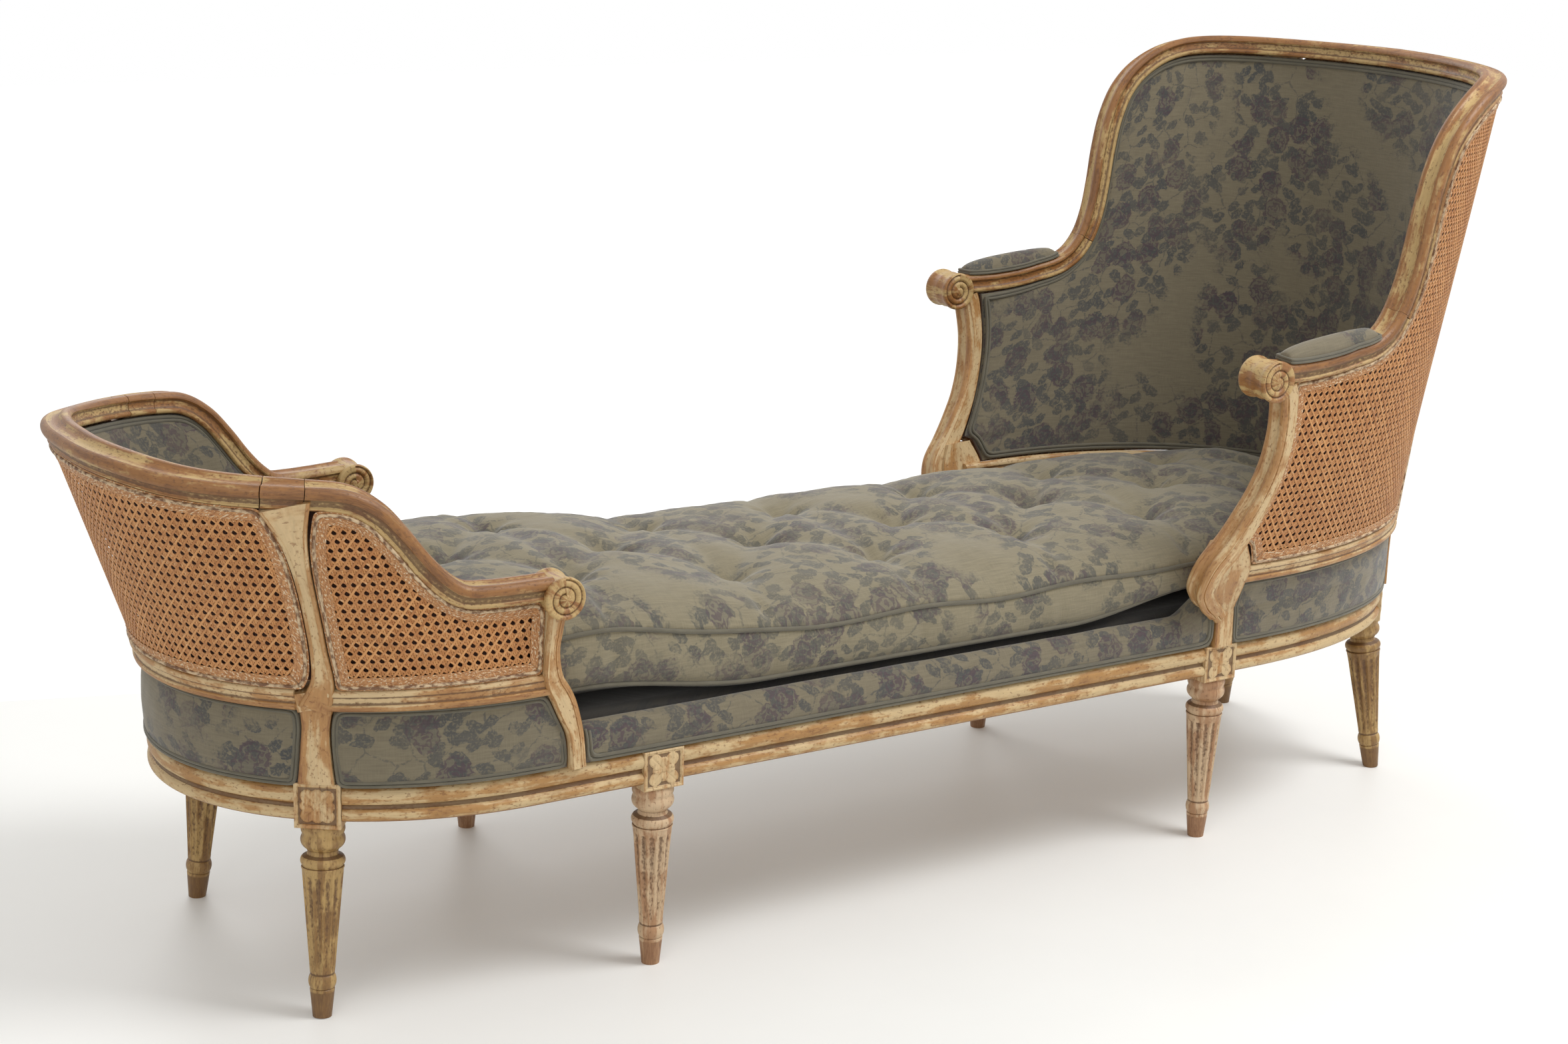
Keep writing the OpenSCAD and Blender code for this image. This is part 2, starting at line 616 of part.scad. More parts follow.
module foot_side_rail_near() {
    color(cream) difference() {
        curved_rail(FOOT, block_front(foot_spring_low), in_block(FOOT, foot_post_angle, -1), 10);
        block_space(FOOT, foot_post_angle, 0);
    }
}
module foot_side_rail_far() { far_side() foot_side_rail_near(); }
module foot_end_rail() {
    color(cream) difference() {
        a = in_block(FOOT, foot_post_angle, 1);
        curved_rail(FOOT, a, -a, 12);
        block_space(FOOT, foot_post_angle, 0);
        far_side() block_space(FOOT, foot_post_angle, 0);
    }
}
module head_side_rail_near() {
    color(cream) difference() {
        curved_rail(HEAD, block_front(head_spring_low), in_block(HEAD, head_post_angle, -1), 12);
        block_space(HEAD, head_post_angle, 0);
    }
}
module head_side_rail_far() { far_side() head_side_rail_near(); }
module head_end_rail() {
    color(cream) difference() {
        a = in_block(HEAD, head_post_angle, 1);
        curved_rail(HEAD, a, -a, 12);
        block_space(HEAD, head_post_angle, 0);
        far_side() block_space(HEAD, head_post_angle, 0);
    }
}

// Webbing lies across the frame, and its long strips over the cross rails. It carries the
// padded platform.
platform_bottom = rail_top - 3;
platform_inset = rail_depth + 2;
web_low = platform_bottom - 2 * web_thick;
web_pitch = web_width * 1.45;
frame_middle = (foot_leg_x + head_leg_x) / 2;
foot_tip = foot_leg_x - foot_spring_low - foot_depth_low;
head_tip = head_leg_x + head_spring_low + head_depth_low;

// Plan outline at the inset d from the outer face of the seat rails
function half_outline(w, d, n) = [
    for (i = [-n:n])
        let (a = i * 90 / n, p = wall(w, a, rail_bottom), o = outward(w, a, rail_bottom))
        [p.x - o.x * d, p.y - o.y * d]];
function seat_outline(d, n) = concat(half_outline(HEAD, d, n), reversed(half_outline(FOOT, d, n)));

cross_span = 2 * (middle_leg_y - block_width / 2);
module cross_rail_at(x) {
    color(ochre)
        translate([x - cross_rail / 2, -cross_span / 2, rail_bottom])
            cube([cross_rail, cross_span, web_low + web_thick - rail_bottom]);
}
module foot_cross_rail() { cross_rail_at(foot_leg_x); }
module head_cross_rail() { cross_rail_at(head_leg_x); }

// Centres of strips that fill the span between two cross lines
function strip_centres(from, to) =
    let (n = floor((to - from) / web_pitch))
    [for (i = [0:n - 1]) (from + to) / 2 + (i - (n - 1) / 2) * web_pitch];
module webbing() {
    long = head_tip - foot_tip;
    across = concat(
        strip_centres(foot_tip + web_width, foot_leg_x - block_width / 2),
        strip_centres(foot_leg_x + block_width / 2, head_leg_x - block_width / 2),
        strip_centres(head_leg_x + block_width / 2, head_tip - web_width));
    color(jute) difference() {
        intersection() {
            translate([0, 0, web_low])
                linear_extrude(2 * web_thick) polygon(seat_outline(rail_depth + cane_gap, 24));
            union() {
                for (x = across)
                    translate([x - web_width / 2, -seat_half, web_low])
                        cube([web_width, seat_width, web_thick]);
                for (y = strip_centres(-seat_half + rail_depth, seat_half - rail_depth))
                    translate([foot_tip, y - web_width / 2, web_low + web_thick])
                        cube([long, web_width, web_thick]);
            }
        }
        end_blocks(0);
    }
}

// The spaces of all four end blocks
module end_blocks(margin) {
    for (w = [[FOOT, foot_post_angle], [HEAD, head_post_angle]]) {
        block_space(w[0], w[1], margin);
        far_side() block_space(w[0], w[1], margin);
    }
}

module seat_platform() {
    color(linen) difference() {
        translate([0, 0, platform_bottom])
            linear_extrude(platform_thick) polygon(seat_outline(platform_inset, 20));
        for (x = [foot_leg_x, head_leg_x], s = [-1, 1])
            translate([x, s * middle_leg_y, platform_bottom])
                cube([block_width + 1, block_width + 1, 2 * platform_thick + 2], center = true);
        end_blocks(0.5);
    }
}

// The rolled end of an arm, with a raised spiral on both faces
module scroll(w, x, z, r, spread) {
    a = angle_of(w, x, z);
    c = wall(w, a, z) + outward(w, a, z) * (crest_out - crest_depth / 2 + spread);
    translate(c) rotate([-90, 0, 0]) translate([0, 0, -scroll_width / 2]) {
        cylinder(r = r, h = scroll_width, $fn = 40);
        for (s = [-spiral_height, scroll_width - spiral_height])
            translate([0, 0, s])
                linear_extrude(2 * spiral_height) mirror([w[0] > 0 ? 0 : 1, 0]) spiral(r);
    }
}
spiral_height = 2;
spiral_turns = 1.75;
module spiral(r) {
    n = 30;
    line = [for (i = [0:n]) let (t = i / n)
        [mix(r - 0.5, r * 0.22, t), 360 * spiral_turns * t, 3 - 1.5 * t]];
    polygon(concat(
        [for (s = line) s[0] * [cos(s[1]), sin(s[1])]],
        [for (s = reversed(line)) (s[0] - s[2]) * [cos(s[1]), sin(s[1])]]));
    circle(r = r * 0.2, $fn = 20);
}

// Crest rails and arms
module crest_run(w, line, to, tongue_from, tongue_to) {
    run(w, line, 0, to, crest_section);
    run(w, plain(line), tongue_from, tongue_to, crest_tongue);
}
module foot_crest_rail() {
    color(ochre)
        run(FOOT, foot_line, foot_crest_start, foot_line_end - foot_crest_start, tongued_crest);
}
foot_scroll_spread = 12;
head_scroll_spread = 8;
module foot_scroll() {
    scroll(FOOT, foot_scroll_x, foot_arm_height - 10, foot_scroll_radius, foot_scroll_spread);
}
module foot_arm_near() {
    color(ochre) {
        crest_run(FOOT, foot_line, foot_arm_end, foot_arm_cut, foot_arm_end - 3);
        foot_scroll();
    }
}
module foot_arm_far() { far_side() foot_arm_near(); }
module head_crest_rail() {
    color(ochre)
        run(HEAD, head_line, head_arm_end, head_line_end - head_arm_end, tongued_crest);
}
module head_scroll() {
    scroll(HEAD, -head_scroll_x, head_arm_height - 8, head_scroll_radius, head_scroll_spread);
}
module head_arm_near() {
    color(ochre) {
        crest_run(HEAD, head_line, head_arm_end, head_arm_cut, head_arm_end);
        head_scroll();
    }
}
module head_arm_far() { far_side() head_arm_near(); }

// Arm supports, cut to the underside of their arms as far back as these stations
foot_arm_cut = 3;
head_arm_cut = 4;
module foot_arm_support_near() {
    color(cream) difference() {
        union() {
            run(FOOT, foot_support_line, 0, len(foot_support_line) - 1, support_section);
            run(FOOT, tongue_line(foot_support_line, foot_arm_height - half_face), 0, 6,
                support_tongue);
        }
        foot_scroll();
        run(FOOT, foot_line, 0, foot_arm_cut, crest_section);
    }
}
module foot_arm_support_far() { far_side() foot_arm_support_near(); }
module head_arm_support_near() {
    knee_top = last_of(head_post_line)[1];
    color(cream) difference() {
        union() {
            run(HEAD, head_support_line, 0, len(head_support_line) - 1, support_section);
            run(HEAD, head_post_line, 0, len(head_post_line) - 1, post_section);
            run(HEAD, plain(between(head_support_line, knee_top + tongue,
                head_arm_height - half_face - tongue - face_gap, 6)), 0, 6, support_tongue);
        }
        head_scroll();
        run(HEAD, head_line, 0, head_arm_cut, crest_section);
    }
}
module head_arm_support_far() { far_side() head_arm_support_near(); }

// Stiles, each with its post in the band below and its knee between the lower cane rails
post_overlap = 3;
knee_drop = 4;
low_rail_top = low_rail_height + half_face;
function post_line(angle) = [
    [-angle, block_top + 2 * seat_gap, post_half, 0],
    [-angle, flare_start - 1, mix(post_half, knee_half, 0.5), 0],
    [-angle, lean_start - 1, knee_half, 0]];
function knee_line(angle) = [
    for (z = [lean_start - rail_face, lean_start - post_overlap, lean_start, low_rail_height,
            low_rail_top - knee_drop, low_rail_top + 2 * tongue])
        [-angle, z, knee_half, 0]];
module stile(w, angle, line) {
    run(w, post_line(angle), 0, 2, post_section);
    knee = knee_line(angle);
    run(w, [knee[1], knee[4]], 0, 1, knee_section);
    run(w, line, 0, len(line) - 1, stile_section);
    run(w, tongue_line(line, last_of(line)[1] - crest_lap), 0, 6, stile_tongue);
}

module foot_stile_near() {
    color(cream) {
        stile(FOOT, foot_post_angle, foot_stile_line);
        run(FOOT, foot_line, foot_arm_end, foot_crest_start, tongued_crest);
    }
}
module foot_stile_far() { far_side() foot_stile_near(); }
head_joint = first_past(head_line, -head_post_angle);
module head_stile_near() {
    color(cream) difference() {
        stile(HEAD, head_post_angle, head_stile_line);
        run(HEAD, head_line, head_joint - 2, head_joint + 1, tongued_crest);
    }
}
module head_stile_far() {
    mirrored_joint = head_line_end - head_joint;
    color(cream) difference() {
        far_side() stile(HEAD, head_post_angle, head_stile_line);
        run(HEAD, head_line, mirrored_joint - 1, mirrored_joint + 2, tongued_crest);
    }
}

// Lower cane rails, cut off where they meet the knees and supports
module low_rail(w, from, to, n) {
    line = [for (i = [0:n]) [mix(from, to, i / n), low_rail_height, 1, 0]];
    run(w, line, 0, n, low_section);
}
// The space of a knee and the foot of its stile, and the space from a support forward
module knee_cut(w, angle, line) {
    at = [-angle, low_rail_height];
    punch(w, at, strip(w, knee_line(angle), 2.5 * knee_gap));
    punch(w, at, strip(w, part_of(line, 0, 2), knee_gap));
    punch(w, at, strip(w, post_line(angle), knee_gap));
}
function strip(w, line, gap) =
    concat(beside(w, line, gap, 1), reversed(beside(w, line, -gap, -1)));
module front_cut(w, line) {
    edge = beside(w, line, -knee_gap, -1);
    front = edge[0][0] - 2 * block_width / front_step;
    punch(w, [edge[0][0], low_rail_height],
        concat(edge, [[front, last_of(edge)[1]], [front, edge[0][1]]]));
}
function in_knee(w, angle, side) =
    -angle + side * (knee_half - block_lap) / per_degree(w, -angle, low_rail_height);
foot_front = angle_of(FOOT, foot_scroll_x, low_rail_height);
head_front = angle_of(HEAD, -10, low_rail_height);
module foot_low_rail_end() {
    color(cream) difference() {
        a = in_knee(FOOT, foot_post_angle, 1);
        low_rail(FOOT, a, -a, 12);
        knee_cut(FOOT, foot_post_angle, foot_stile_line);
        far_side() knee_cut(FOOT, foot_post_angle, foot_stile_line);
    }
}
module foot_low_rail_near() {
    color(cream) difference() {
        low_rail(FOOT, foot_front, in_knee(FOOT, foot_post_angle, -1), 8);
        knee_cut(FOOT, foot_post_angle, foot_stile_line);
        front_cut(FOOT, foot_support_line);
    }
}
module foot_low_rail_far() { far_side() foot_low_rail_near(); }
module head_low_rail_end() {
    color(cream) difference() {
        a = in_knee(HEAD, head_post_angle, 1);
        low_rail(HEAD, a, -a, 12);
        knee_cut(HEAD, head_post_angle, head_stile_line);
        far_side() knee_cut(HEAD, head_post_angle, head_stile_line);
    }
}
module head_low_rail_near() {
    color(cream) difference() {
        low_rail(HEAD, head_front, in_knee(HEAD, head_post_angle, -1), 11);
        knee_cut(HEAD, head_post_angle, head_stile_line);
        front_cut(HEAD, head_post_line);
    }
}
module head_low_rail_far() { far_side() head_low_rail_near(); }

// Panel edges are lists of [angle, z]. An upright edge follows a stile or a support at a
// gap beside it, between the lower cane rail and the crest.
panel_low = low_rail_top + panel_gap;
edge_steps = 8;
spread_drop = 0.3;
function under(w, line) =
    beside(w, [for (s = line) [s[0], s[1], s[3]]], -half_face - panel_gap, -spread_drop);
foot_under = under(FOOT, foot_line);
head_under = under(HEAD, head_line);
function edge_angle(edge, z) = lookup(z, [for (s = edge) [s[1], s[0]]]);
function upright(edge, low, high) = [
    for (i = [0:edge_steps])
        let (z = mix(low, high, i / edge_steps)) [edge_angle(edge, z), z]];
function level(from, to, z) = [for (i = [0:edge_steps]) [mix(from, to, i / edge_steps), z]];
function opposite(edge) = [for (s = edge) [-s[0], s[1]]];

// The stations first..last of a line, between two given ends
function clipped(line, first, last, ends) =
    concat([ends[0]], part_of(line, first, last), [ends[1]]);

// The sides of the supports and stiles that the panels meet
foot_support_back = beside(FOOT, foot_support_line, -panel_gap, -1);
foot_stile_front = beside(FOOT, foot_stile_line, stile_gap, stile_ease);
foot_stile_back = beside(FOOT, foot_stile_line, -stile_gap, -stile_ease);
head_post_back = beside(HEAD, head_post_line, -panel_gap, -1);
head_support_back = concat(
    [for (s = head_post_back) if (s[1] > lean_start) s],
    [for (s = beside(HEAD, head_support_line, -panel_gap, -1))
        if (s[1] > last_of(head_post_back)[1] + tongue) s]);
head_stile_front = beside(HEAD, head_stile_line, stile_gap, stile_ease);
head_stile_back = beside(HEAD, head_stile_line, -stile_gap, -stile_ease);

// Those sides from the lower cane rail up to the underside of the arm or crest
scroll_clear = 9;
foot_arm_under = foot_arm_height - half_face - panel_gap - spread_drop * foot_scroll_spread
    - scroll_clear;
head_arm_under = head_arm_height - half_face - panel_gap - spread_drop * head_scroll_spread;
foot_support_rise = upright(foot_support_back, panel_low, foot_arm_under);
head_support_rise = upright(head_support_back, panel_low, head_arm_under);
function top_at(under, edge) = height_at(under, last_of(edge)[0]);
foot_front_rise = upright(foot_stile_front, panel_low, top_at(foot_under, foot_stile_front));
foot_back_rise = upright(foot_stile_back, panel_low, top_at(foot_under, foot_stile_back));
head_front_rise = upright(head_stile_front, panel_low, top_at(head_under, head_stile_front));
head_back_rise = upright(head_stile_back, panel_low, top_at(head_under, head_stile_back));

// Index of the first station past an angle
function first_past(line, a) = [for (i = [0:len(line) - 1]) if (line[i][0] > a) i][0];

// The edges of a side panel, from the support to the stile
function side_edges(under, rise, front) =
    let (a = last_of(rise), b = last_of(front))
    let (i = first_past(under, a[0] + 4), j = first_past(under, b[0] - 0.5) - 1)
    [level(rise[0][0], front[0][0], panel_low), clipped(under, i, j, [a, b]), rise, front];

// The edges of an end panel, between the two stiles
function end_edges(under, rise) =
    let (a = last_of(rise), b = [-a[0], a[1]])
    let (i = first_past(under, a[0] + 0.5), j = first_past(under, b[0] - 0.5) - 1)
    [level(rise[0][0], -rise[0][0], panel_low), clipped(under, i, j, [a, b]), rise,
        opposite(rise)];

// The edges of the padding inside, from support to support
function pad_edges(under, rise) =
    let (a = last_of(rise), b = [-a[0], a[1]])
    let (i = first_past(under, a[0] + 4))
    [level(rise[0][0], -rise[0][0], panel_low),
        clipped(under, i, len(under) - 1 - i, [a, b]), rise, opposite(rise)];

// Cane lies on the tongues
cane_back = function(u, v) tongue_out + cane_gap;
cane_face = function(u, v) tongue_out + cane_gap + cane_thick;
module cane(w, edges, k, nv) {
    color(cane_tan) panel(w, edges, k * (len(edges[1]) - 1), nv, cane_back, cane_face);
}
module foot_cane_end() { cane(FOOT, end_edges(foot_under, foot_back_rise), 2, 3); }
module foot_cane_near() {
    cane(FOOT, side_edges(foot_under, foot_support_rise, foot_front_rise), 1, 3);
}
module foot_cane_far() { far_side() foot_cane_near(); }
module head_cane_back() { cane(HEAD, end_edges(head_under, head_back_rise), 2, 6); }
module head_cane_near() {
    cane(HEAD, side_edges(head_under, head_support_rise, head_front_rise), 1, 6);
}
module head_cane_far() { far_side() head_cane_near(); }

// Inner padding, thicker in its middle than along its edges
function swell(t) = pow(clamp(1 - pow(abs(2 * t - 1), 3), 0, 1), 0.5);
pad_back = function(u, v) -tongue_in - face_gap;
pad_face = function(u, v) -pad_edge - pad_crown * swell(v) * clamp(u * 12, 0, 1)
    * clamp((1 - u) * 12, 0, 1);
module inner_pad(w, edges, nv) {
    color(linen) panel(w, edges, len(edges[1]) - 1, nv, pad_face, pad_back);
}
module foot_inner_pad() { inner_pad(FOOT, pad_edges(foot_under, foot_support_rise), 4); }
module head_inner_pad() { inner_pad(HEAD, pad_edges(head_under, head_support_rise), 5); }

// Bands of upholstery between the seat rail and the lower cane rail
band_low = rail_top + seat_gap;
band_high = lean_start - seat_gap;
band_back = function(u, v) -band_bulge;
band_face = function(u, v) 1 + band_bulge * sqrt(1 - pow(2 * v - 1, 2));
function post_side(w, angle, side) =
    upright(beside(w, post_line(angle), -side * band_gap, -side), band_low, band_high);
module band(w, start, stop, n) {
    edges = [level(start[0][0], stop[0][0], band_low),
        level(last_of(start)[0], last_of(stop)[0], band_high), start, stop];
    color(linen) panel(w, edges, n, 3, band_back, band_face);
}
module foot_band_end() {
    edge = post_side(FOOT, foot_post_angle, 1);
    band(FOOT, edge, opposite(edge), 12);
}
module foot_band_near() {
    band(FOOT, upright(foot_support_back, band_low, band_high),
        post_side(FOOT, foot_post_angle, -1), 10);
}
module foot_band_far() { far_side() foot_band_near(); }
module head_band_end() {
    edge = post_side(HEAD, head_post_angle, 1);
    band(HEAD, edge, opposite(edge), 12);
}
module head_band_near() {
    band(HEAD, upright(head_post_back, band_low, band_high),
        post_side(HEAD, head_post_angle, -1), 12);
}
module head_band_far() { far_side() head_band_near(); }

// Half-round padding on the arms of the head end
arm_pad_from = 2;
arm_pad_to = 9;
module arm_pad_near() {
    half = crest_depth / 2 - 4;
    middle = crest_out - crest_depth / 2;
    n = arm_pad_to - arm_pad_from;
    rings = [
        for (i = [0:n])
            let (k = 0.35 + 0.65 * pow(sin(180 * i / n), 0.5))
            [for (c = [0:18:180])
                frame_point(HEAD, head_line, arm_pad_from + i,
                    [middle + half * cos(c) * mix(1, k, 0.3),
                        half_face + seat_gap + arm_pad_height * sin(c) * k])]];
    color(linen) skin(rings, false);
}
module arm_pad_far() { far_side() arm_pad_near(); }

// Rolled edges of the seat between the arm supports
roll_from = foot_leg_x - foot_support_foot + foot_support_half + seat_gap;
roll_to = head_leg_x - head_post_half - 3;
module edge_roll_near() {
    nose = roll_width / 2 - 1;
    color(linen)
        translate([roll_from, -seat_half, rail_top + seat_gap])
            rotate([90, 0, 90]) linear_extrude(roll_to - roll_from)
                polygon(concat([[1, 0], [0, 4]],
                    [for (c = [180:-15:0])
                        [roll_width / 2 + (roll_width / 2 - 0.5) * cos(c),
                            roll_height - nose + nose * sin(c)]],
                    [[roll_width - 1, 0]]));
}
module edge_roll_far() { far_side() edge_roll_near(); }

// The mattress is a grid of sections across its length, each a closed ring
bed_inset = crest_in + mattress_play;
bed_bottom = platform_bottom + platform_thick + seat_gap;
bed_half = seat_half - bed_inset;
bed_foot = foot_tip + bed_inset;
bed_head = head_tip - bed_inset;
bed_length = bed_head - bed_foot;
tuft_pitch = bed_length / tufts_long;
tuft_reach = 34;
welt = 5;
function bed_side(p, beyond) =
    let (f = (beyond - p[0]) / (p[1] - bed_inset))
    f <= 0 ? bed_half : bed_half * pow(max(0, 1 - pow(f, p[3])), 1 / p[3]);
function bed_half_at(x) = min(bed_side(foot_low, foot_leg_x - x), bed_side(head_low, x - head_leg_x));

// Height of the upper welt, which climbs towards the foot end
function welt_top(x) =
    let (t = clamp((foot_leg_x + 240 - x) / 320, 0, 1))
    bed_bottom + mattress_edge + mattress_rise * t * t * (3 - 2 * t);

// Tufts stand in three rows, the outer two half a step away from the middle one
function tuft_dip(x, y) =
    let (dips = [
        for (row = [-1:1], i = [0:tufts_long])
            let (tx = bed_foot + (i + (row == 0 ? 0.5 : 0)) * tuft_pitch)
            let (r = norm([x - tx, y - row * tuft_row]))
            if (r < 3 * tuft_reach && tx > bed_foot + 60 && tx < bed_head - 60)
                exp(-pow(r / tuft_reach, 2))])
    len(dips) == 0 ? 0 : tuft_depth * min(1, [for (d = dips) 1] * dips);
function bed_top(x, y) =
    let (h = bed_half_at(x), v = min(1, abs(y) / h))
    let (e = min(x - bed_foot, bed_head - x), g = sqrt(clamp(e / 90, 0, 1)))
    welt_top(x) + 3 + (mattress_crown * pow(1 - pow(v, 4), 0.6) - tuft_dip(x, y)) * g;
bed_columns = [-0.95, -0.72, -0.475, -0.24, 0, 0.24, 0.475, 0.72, 0.95];
function bed_ring(x) =
    let (h = bed_half_at(x), z0 = bed_bottom, z1 = welt_top(x))
    concat(
        [[x, -h + 4, z0], [x, -h, z0 + welt], [x, -h + side_draw, (z0 + z1) / 2],
            [x, -h, z1 - welt], [x, -h + 2, z1]],
        [for (c = bed_columns) [x, c * h, bed_top(x, c * h)]],
        [[x, h - 2, z1], [x, h, z1 - welt], [x, h - side_draw, (z0 + z1) / 2],
            [x, h, z0 + welt], [x, h - 4, z0]]);
bed_steps = 6 * tufts_long;
module mattress() {
    ends = [bed_foot + 1, bed_foot + 5, bed_foot + 14];
    stations = concat(ends,
        [for (i = [1:bed_steps - 1]) bed_foot + bed_length * i / bed_steps],
        [for (x = reversed(ends)) bed_foot + bed_head - x]);
    color(linen) skin([for (x = stations) bed_ring(x)], false);
}

foot_leg_near();
foot_leg_far();
foot_middle_leg_near();
foot_middle_leg_far();
head_middle_leg_near();
head_middle_leg_far();
head_leg_near();
head_leg_far();
side_rail_near();
side_rail_far();
foot_side_rail_near();
foot_side_rail_far();
foot_end_rail();
head_side_rail_near();
head_side_rail_far();
head_end_rail();
foot_cross_rail();
head_cross_rail();
webbing();
seat_platform();
foot_crest_rail();
foot_arm_near();
foot_arm_far();
foot_arm_support_near();
foot_arm_support_far();
foot_stile_near();
foot_stile_far();
foot_low_rail_end();
foot_low_rail_near();
foot_low_rail_far();
foot_cane_end();
foot_cane_near();
foot_cane_far();
foot_inner_pad();
foot_band_end();
foot_band_near();
foot_band_far();
head_crest_rail();
head_arm_near();
head_arm_far();
head_arm_support_near();
head_arm_support_far();
head_stile_near();
head_stile_far();
head_low_rail_end();
head_low_rail_near();
head_low_rail_far();
head_cane_back();
head_cane_near();
head_cane_far();
head_inner_pad();
arm_pad_near();
arm_pad_far();
head_band_end();
head_band_near();
head_band_far();
edge_roll_near();
edge_roll_far();
mattress();
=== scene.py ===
# The look of the caned chaise longue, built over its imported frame.
# Shapes are worked out in millimetres and become metres in piece().
# "near" is the -Y side, the foot end lies at -X and the head end at +X.

import math

import bpy
import numpy as np
from mathutils import Matrix, Vector


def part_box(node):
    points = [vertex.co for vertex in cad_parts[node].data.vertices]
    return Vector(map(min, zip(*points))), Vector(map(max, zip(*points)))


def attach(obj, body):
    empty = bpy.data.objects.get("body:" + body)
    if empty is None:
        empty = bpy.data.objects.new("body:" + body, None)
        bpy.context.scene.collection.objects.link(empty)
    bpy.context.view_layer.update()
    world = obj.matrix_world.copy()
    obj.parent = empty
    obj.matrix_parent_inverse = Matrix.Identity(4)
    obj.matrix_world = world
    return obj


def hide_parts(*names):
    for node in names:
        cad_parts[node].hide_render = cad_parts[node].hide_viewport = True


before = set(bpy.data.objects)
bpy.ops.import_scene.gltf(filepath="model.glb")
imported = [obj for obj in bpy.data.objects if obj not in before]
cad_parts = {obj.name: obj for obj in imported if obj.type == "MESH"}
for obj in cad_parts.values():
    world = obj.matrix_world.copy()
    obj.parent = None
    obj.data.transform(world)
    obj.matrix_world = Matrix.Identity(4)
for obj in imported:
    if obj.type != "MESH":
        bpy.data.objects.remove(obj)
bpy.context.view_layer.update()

MM = 0.001

# Driving sizes, the same as the solids'
SEAT_WIDTH = 548
LEG_GAP = 854
RAIL_BOTTOM = 237
RAIL_HEIGHT = 41
RAIL_DEPTH = 32
WEB_WIDTH = 50
WEB_THICK = 2
PLATFORM_THICK = 50
BLOCK_WIDTH = 53
BLOCK_PROUD = 3
BLOCK_DROP = 8
BLOCK_RISE = 5
FLUTES = 12
FOOT_SPLAY = 5
HEAD_SPLAY = 8
FOOT_TOP = 650
FOOT_CREST_MID = 647
FOOT_CREST_SIDE = 629
FOOT_ARM_HEIGHT = 500
FOOT_SCROLL_RADIUS = 25
FOOT_SCROLL_X = 148
FOOT_POST_ANGLE = 47
FOOT_STILE_DRIFT = 9
HEAD_TOP = 1000
HEAD_CREST_MID = 1010
HEAD_ARM_HEIGHT = 663
HEAD_SCROLL_RADIUS = 27
HEAD_SCROLL_X = 19
HEAD_POST_ANGLE = 32
ARM_PAD_HEIGHT = 24
LOW_RAIL_HEIGHT = 386
RAIL_FACE = 26
CREST_DEPTH = 38
CREST_OUT = 13
SCROLL_WIDTH = 50
PAD_EDGE = 14
PAD_CROWN = 9
BAND_BULGE = 6
ROLL_HEIGHT = 46
MATTRESS_EDGE = 60
MATTRESS_CROWN = 60
MATTRESS_RISE = 34
TUFTS_LONG = 8
TUFT_ROW = 116
MATTRESS_PLAY = 5

# Plans of the two ends: spring, depth, half width and squareness, at the seat and the top
FOOT_LOW = (168, 342, SEAT_WIDTH / 2, 2.0)
FOOT_HIGH = (230, 372, 280, 2.4)
HEAD_LOW = (27, 435, SEAT_WIDTH / 2, 2.3)
HEAD_HIGH = (235, 272, 347, 2.25)
CORNER_EASE = 0.008
FRONT_STEP = 2.5

SEAT_HALF = SEAT_WIDTH / 2
RAIL_TOP = RAIL_BOTTOM + RAIL_HEIGHT
BLOCK_TOP = RAIL_TOP + BLOCK_RISE
HALF_FACE = RAIL_FACE / 2
LEAN_START = LOW_RAIL_HEIGHT - HALF_FACE
FLARE_START = RAIL_TOP + 52
CREST_IN = CREST_DEPTH - CREST_OUT
GAP = 0.3
TONGUE_IN = 8
LEG_TOP = RAIL_BOTTOM - BLOCK_DROP

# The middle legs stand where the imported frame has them
leg_low, leg_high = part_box("foot_middle_leg_near")
FOOT_LEG_X = (leg_low[0] + leg_high[0]) / 2 / MM
HEAD_LEG_X = FOOT_LEG_X + LEG_GAP
MIDDLE_LEG_Y = SEAT_HALF + BLOCK_PROUD - BLOCK_WIDTH / 2


# Small maths
def unit(v):
    return v / np.maximum(np.linalg.norm(v, axis=-1, keepdims=True), 1e-9)


def mix(a, b, t):
    return a + (b - a) * t


def smooth(t):
    t = np.clip(t, 0, 1)
    return t * t * (3 - 2 * t)


def travelled(points):
    """Distance along a line of points, from 0 at the first."""
    steps = np.linalg.norm(np.diff(points, axis=0), axis=1)
    return np.concatenate([[0], np.cumsum(steps)])


def ringed(loop):
    """A closed outline with its first point again at its end."""
    return np.concatenate([loop, loop[:1]])


def evenly(points, count):
    """The same line with its points at even distances."""
    s = travelled(points)
    at = np.linspace(0, s[-1], count)
    return np.stack([np.interp(at, s, points[:, k]) for k in range(points.shape[1])], 1)


def curve(knots, steps):
    """A smooth curve through the knots."""
    knots = np.asarray(knots, float)
    ends = [2 * knots[:1] - knots[1:2], knots, 2 * knots[-1:] - knots[-2:-1]]
    k = np.concatenate(ends)[:, None]
    a, b, c, d = k[:-3], k[1:-2], k[2:-1], k[3:]
    t = (np.arange(steps) / steps)[None, :, None]
    spans = 0.5 * (2 * b + (c - a) * t + (2 * a - 5 * b + 4 * c - d) * t ** 2
                   + (3 * b - a - 3 * c + d) * t ** 3)
    return np.concatenate([spans.reshape(-1, knots.shape[1]), knots[-1:]])


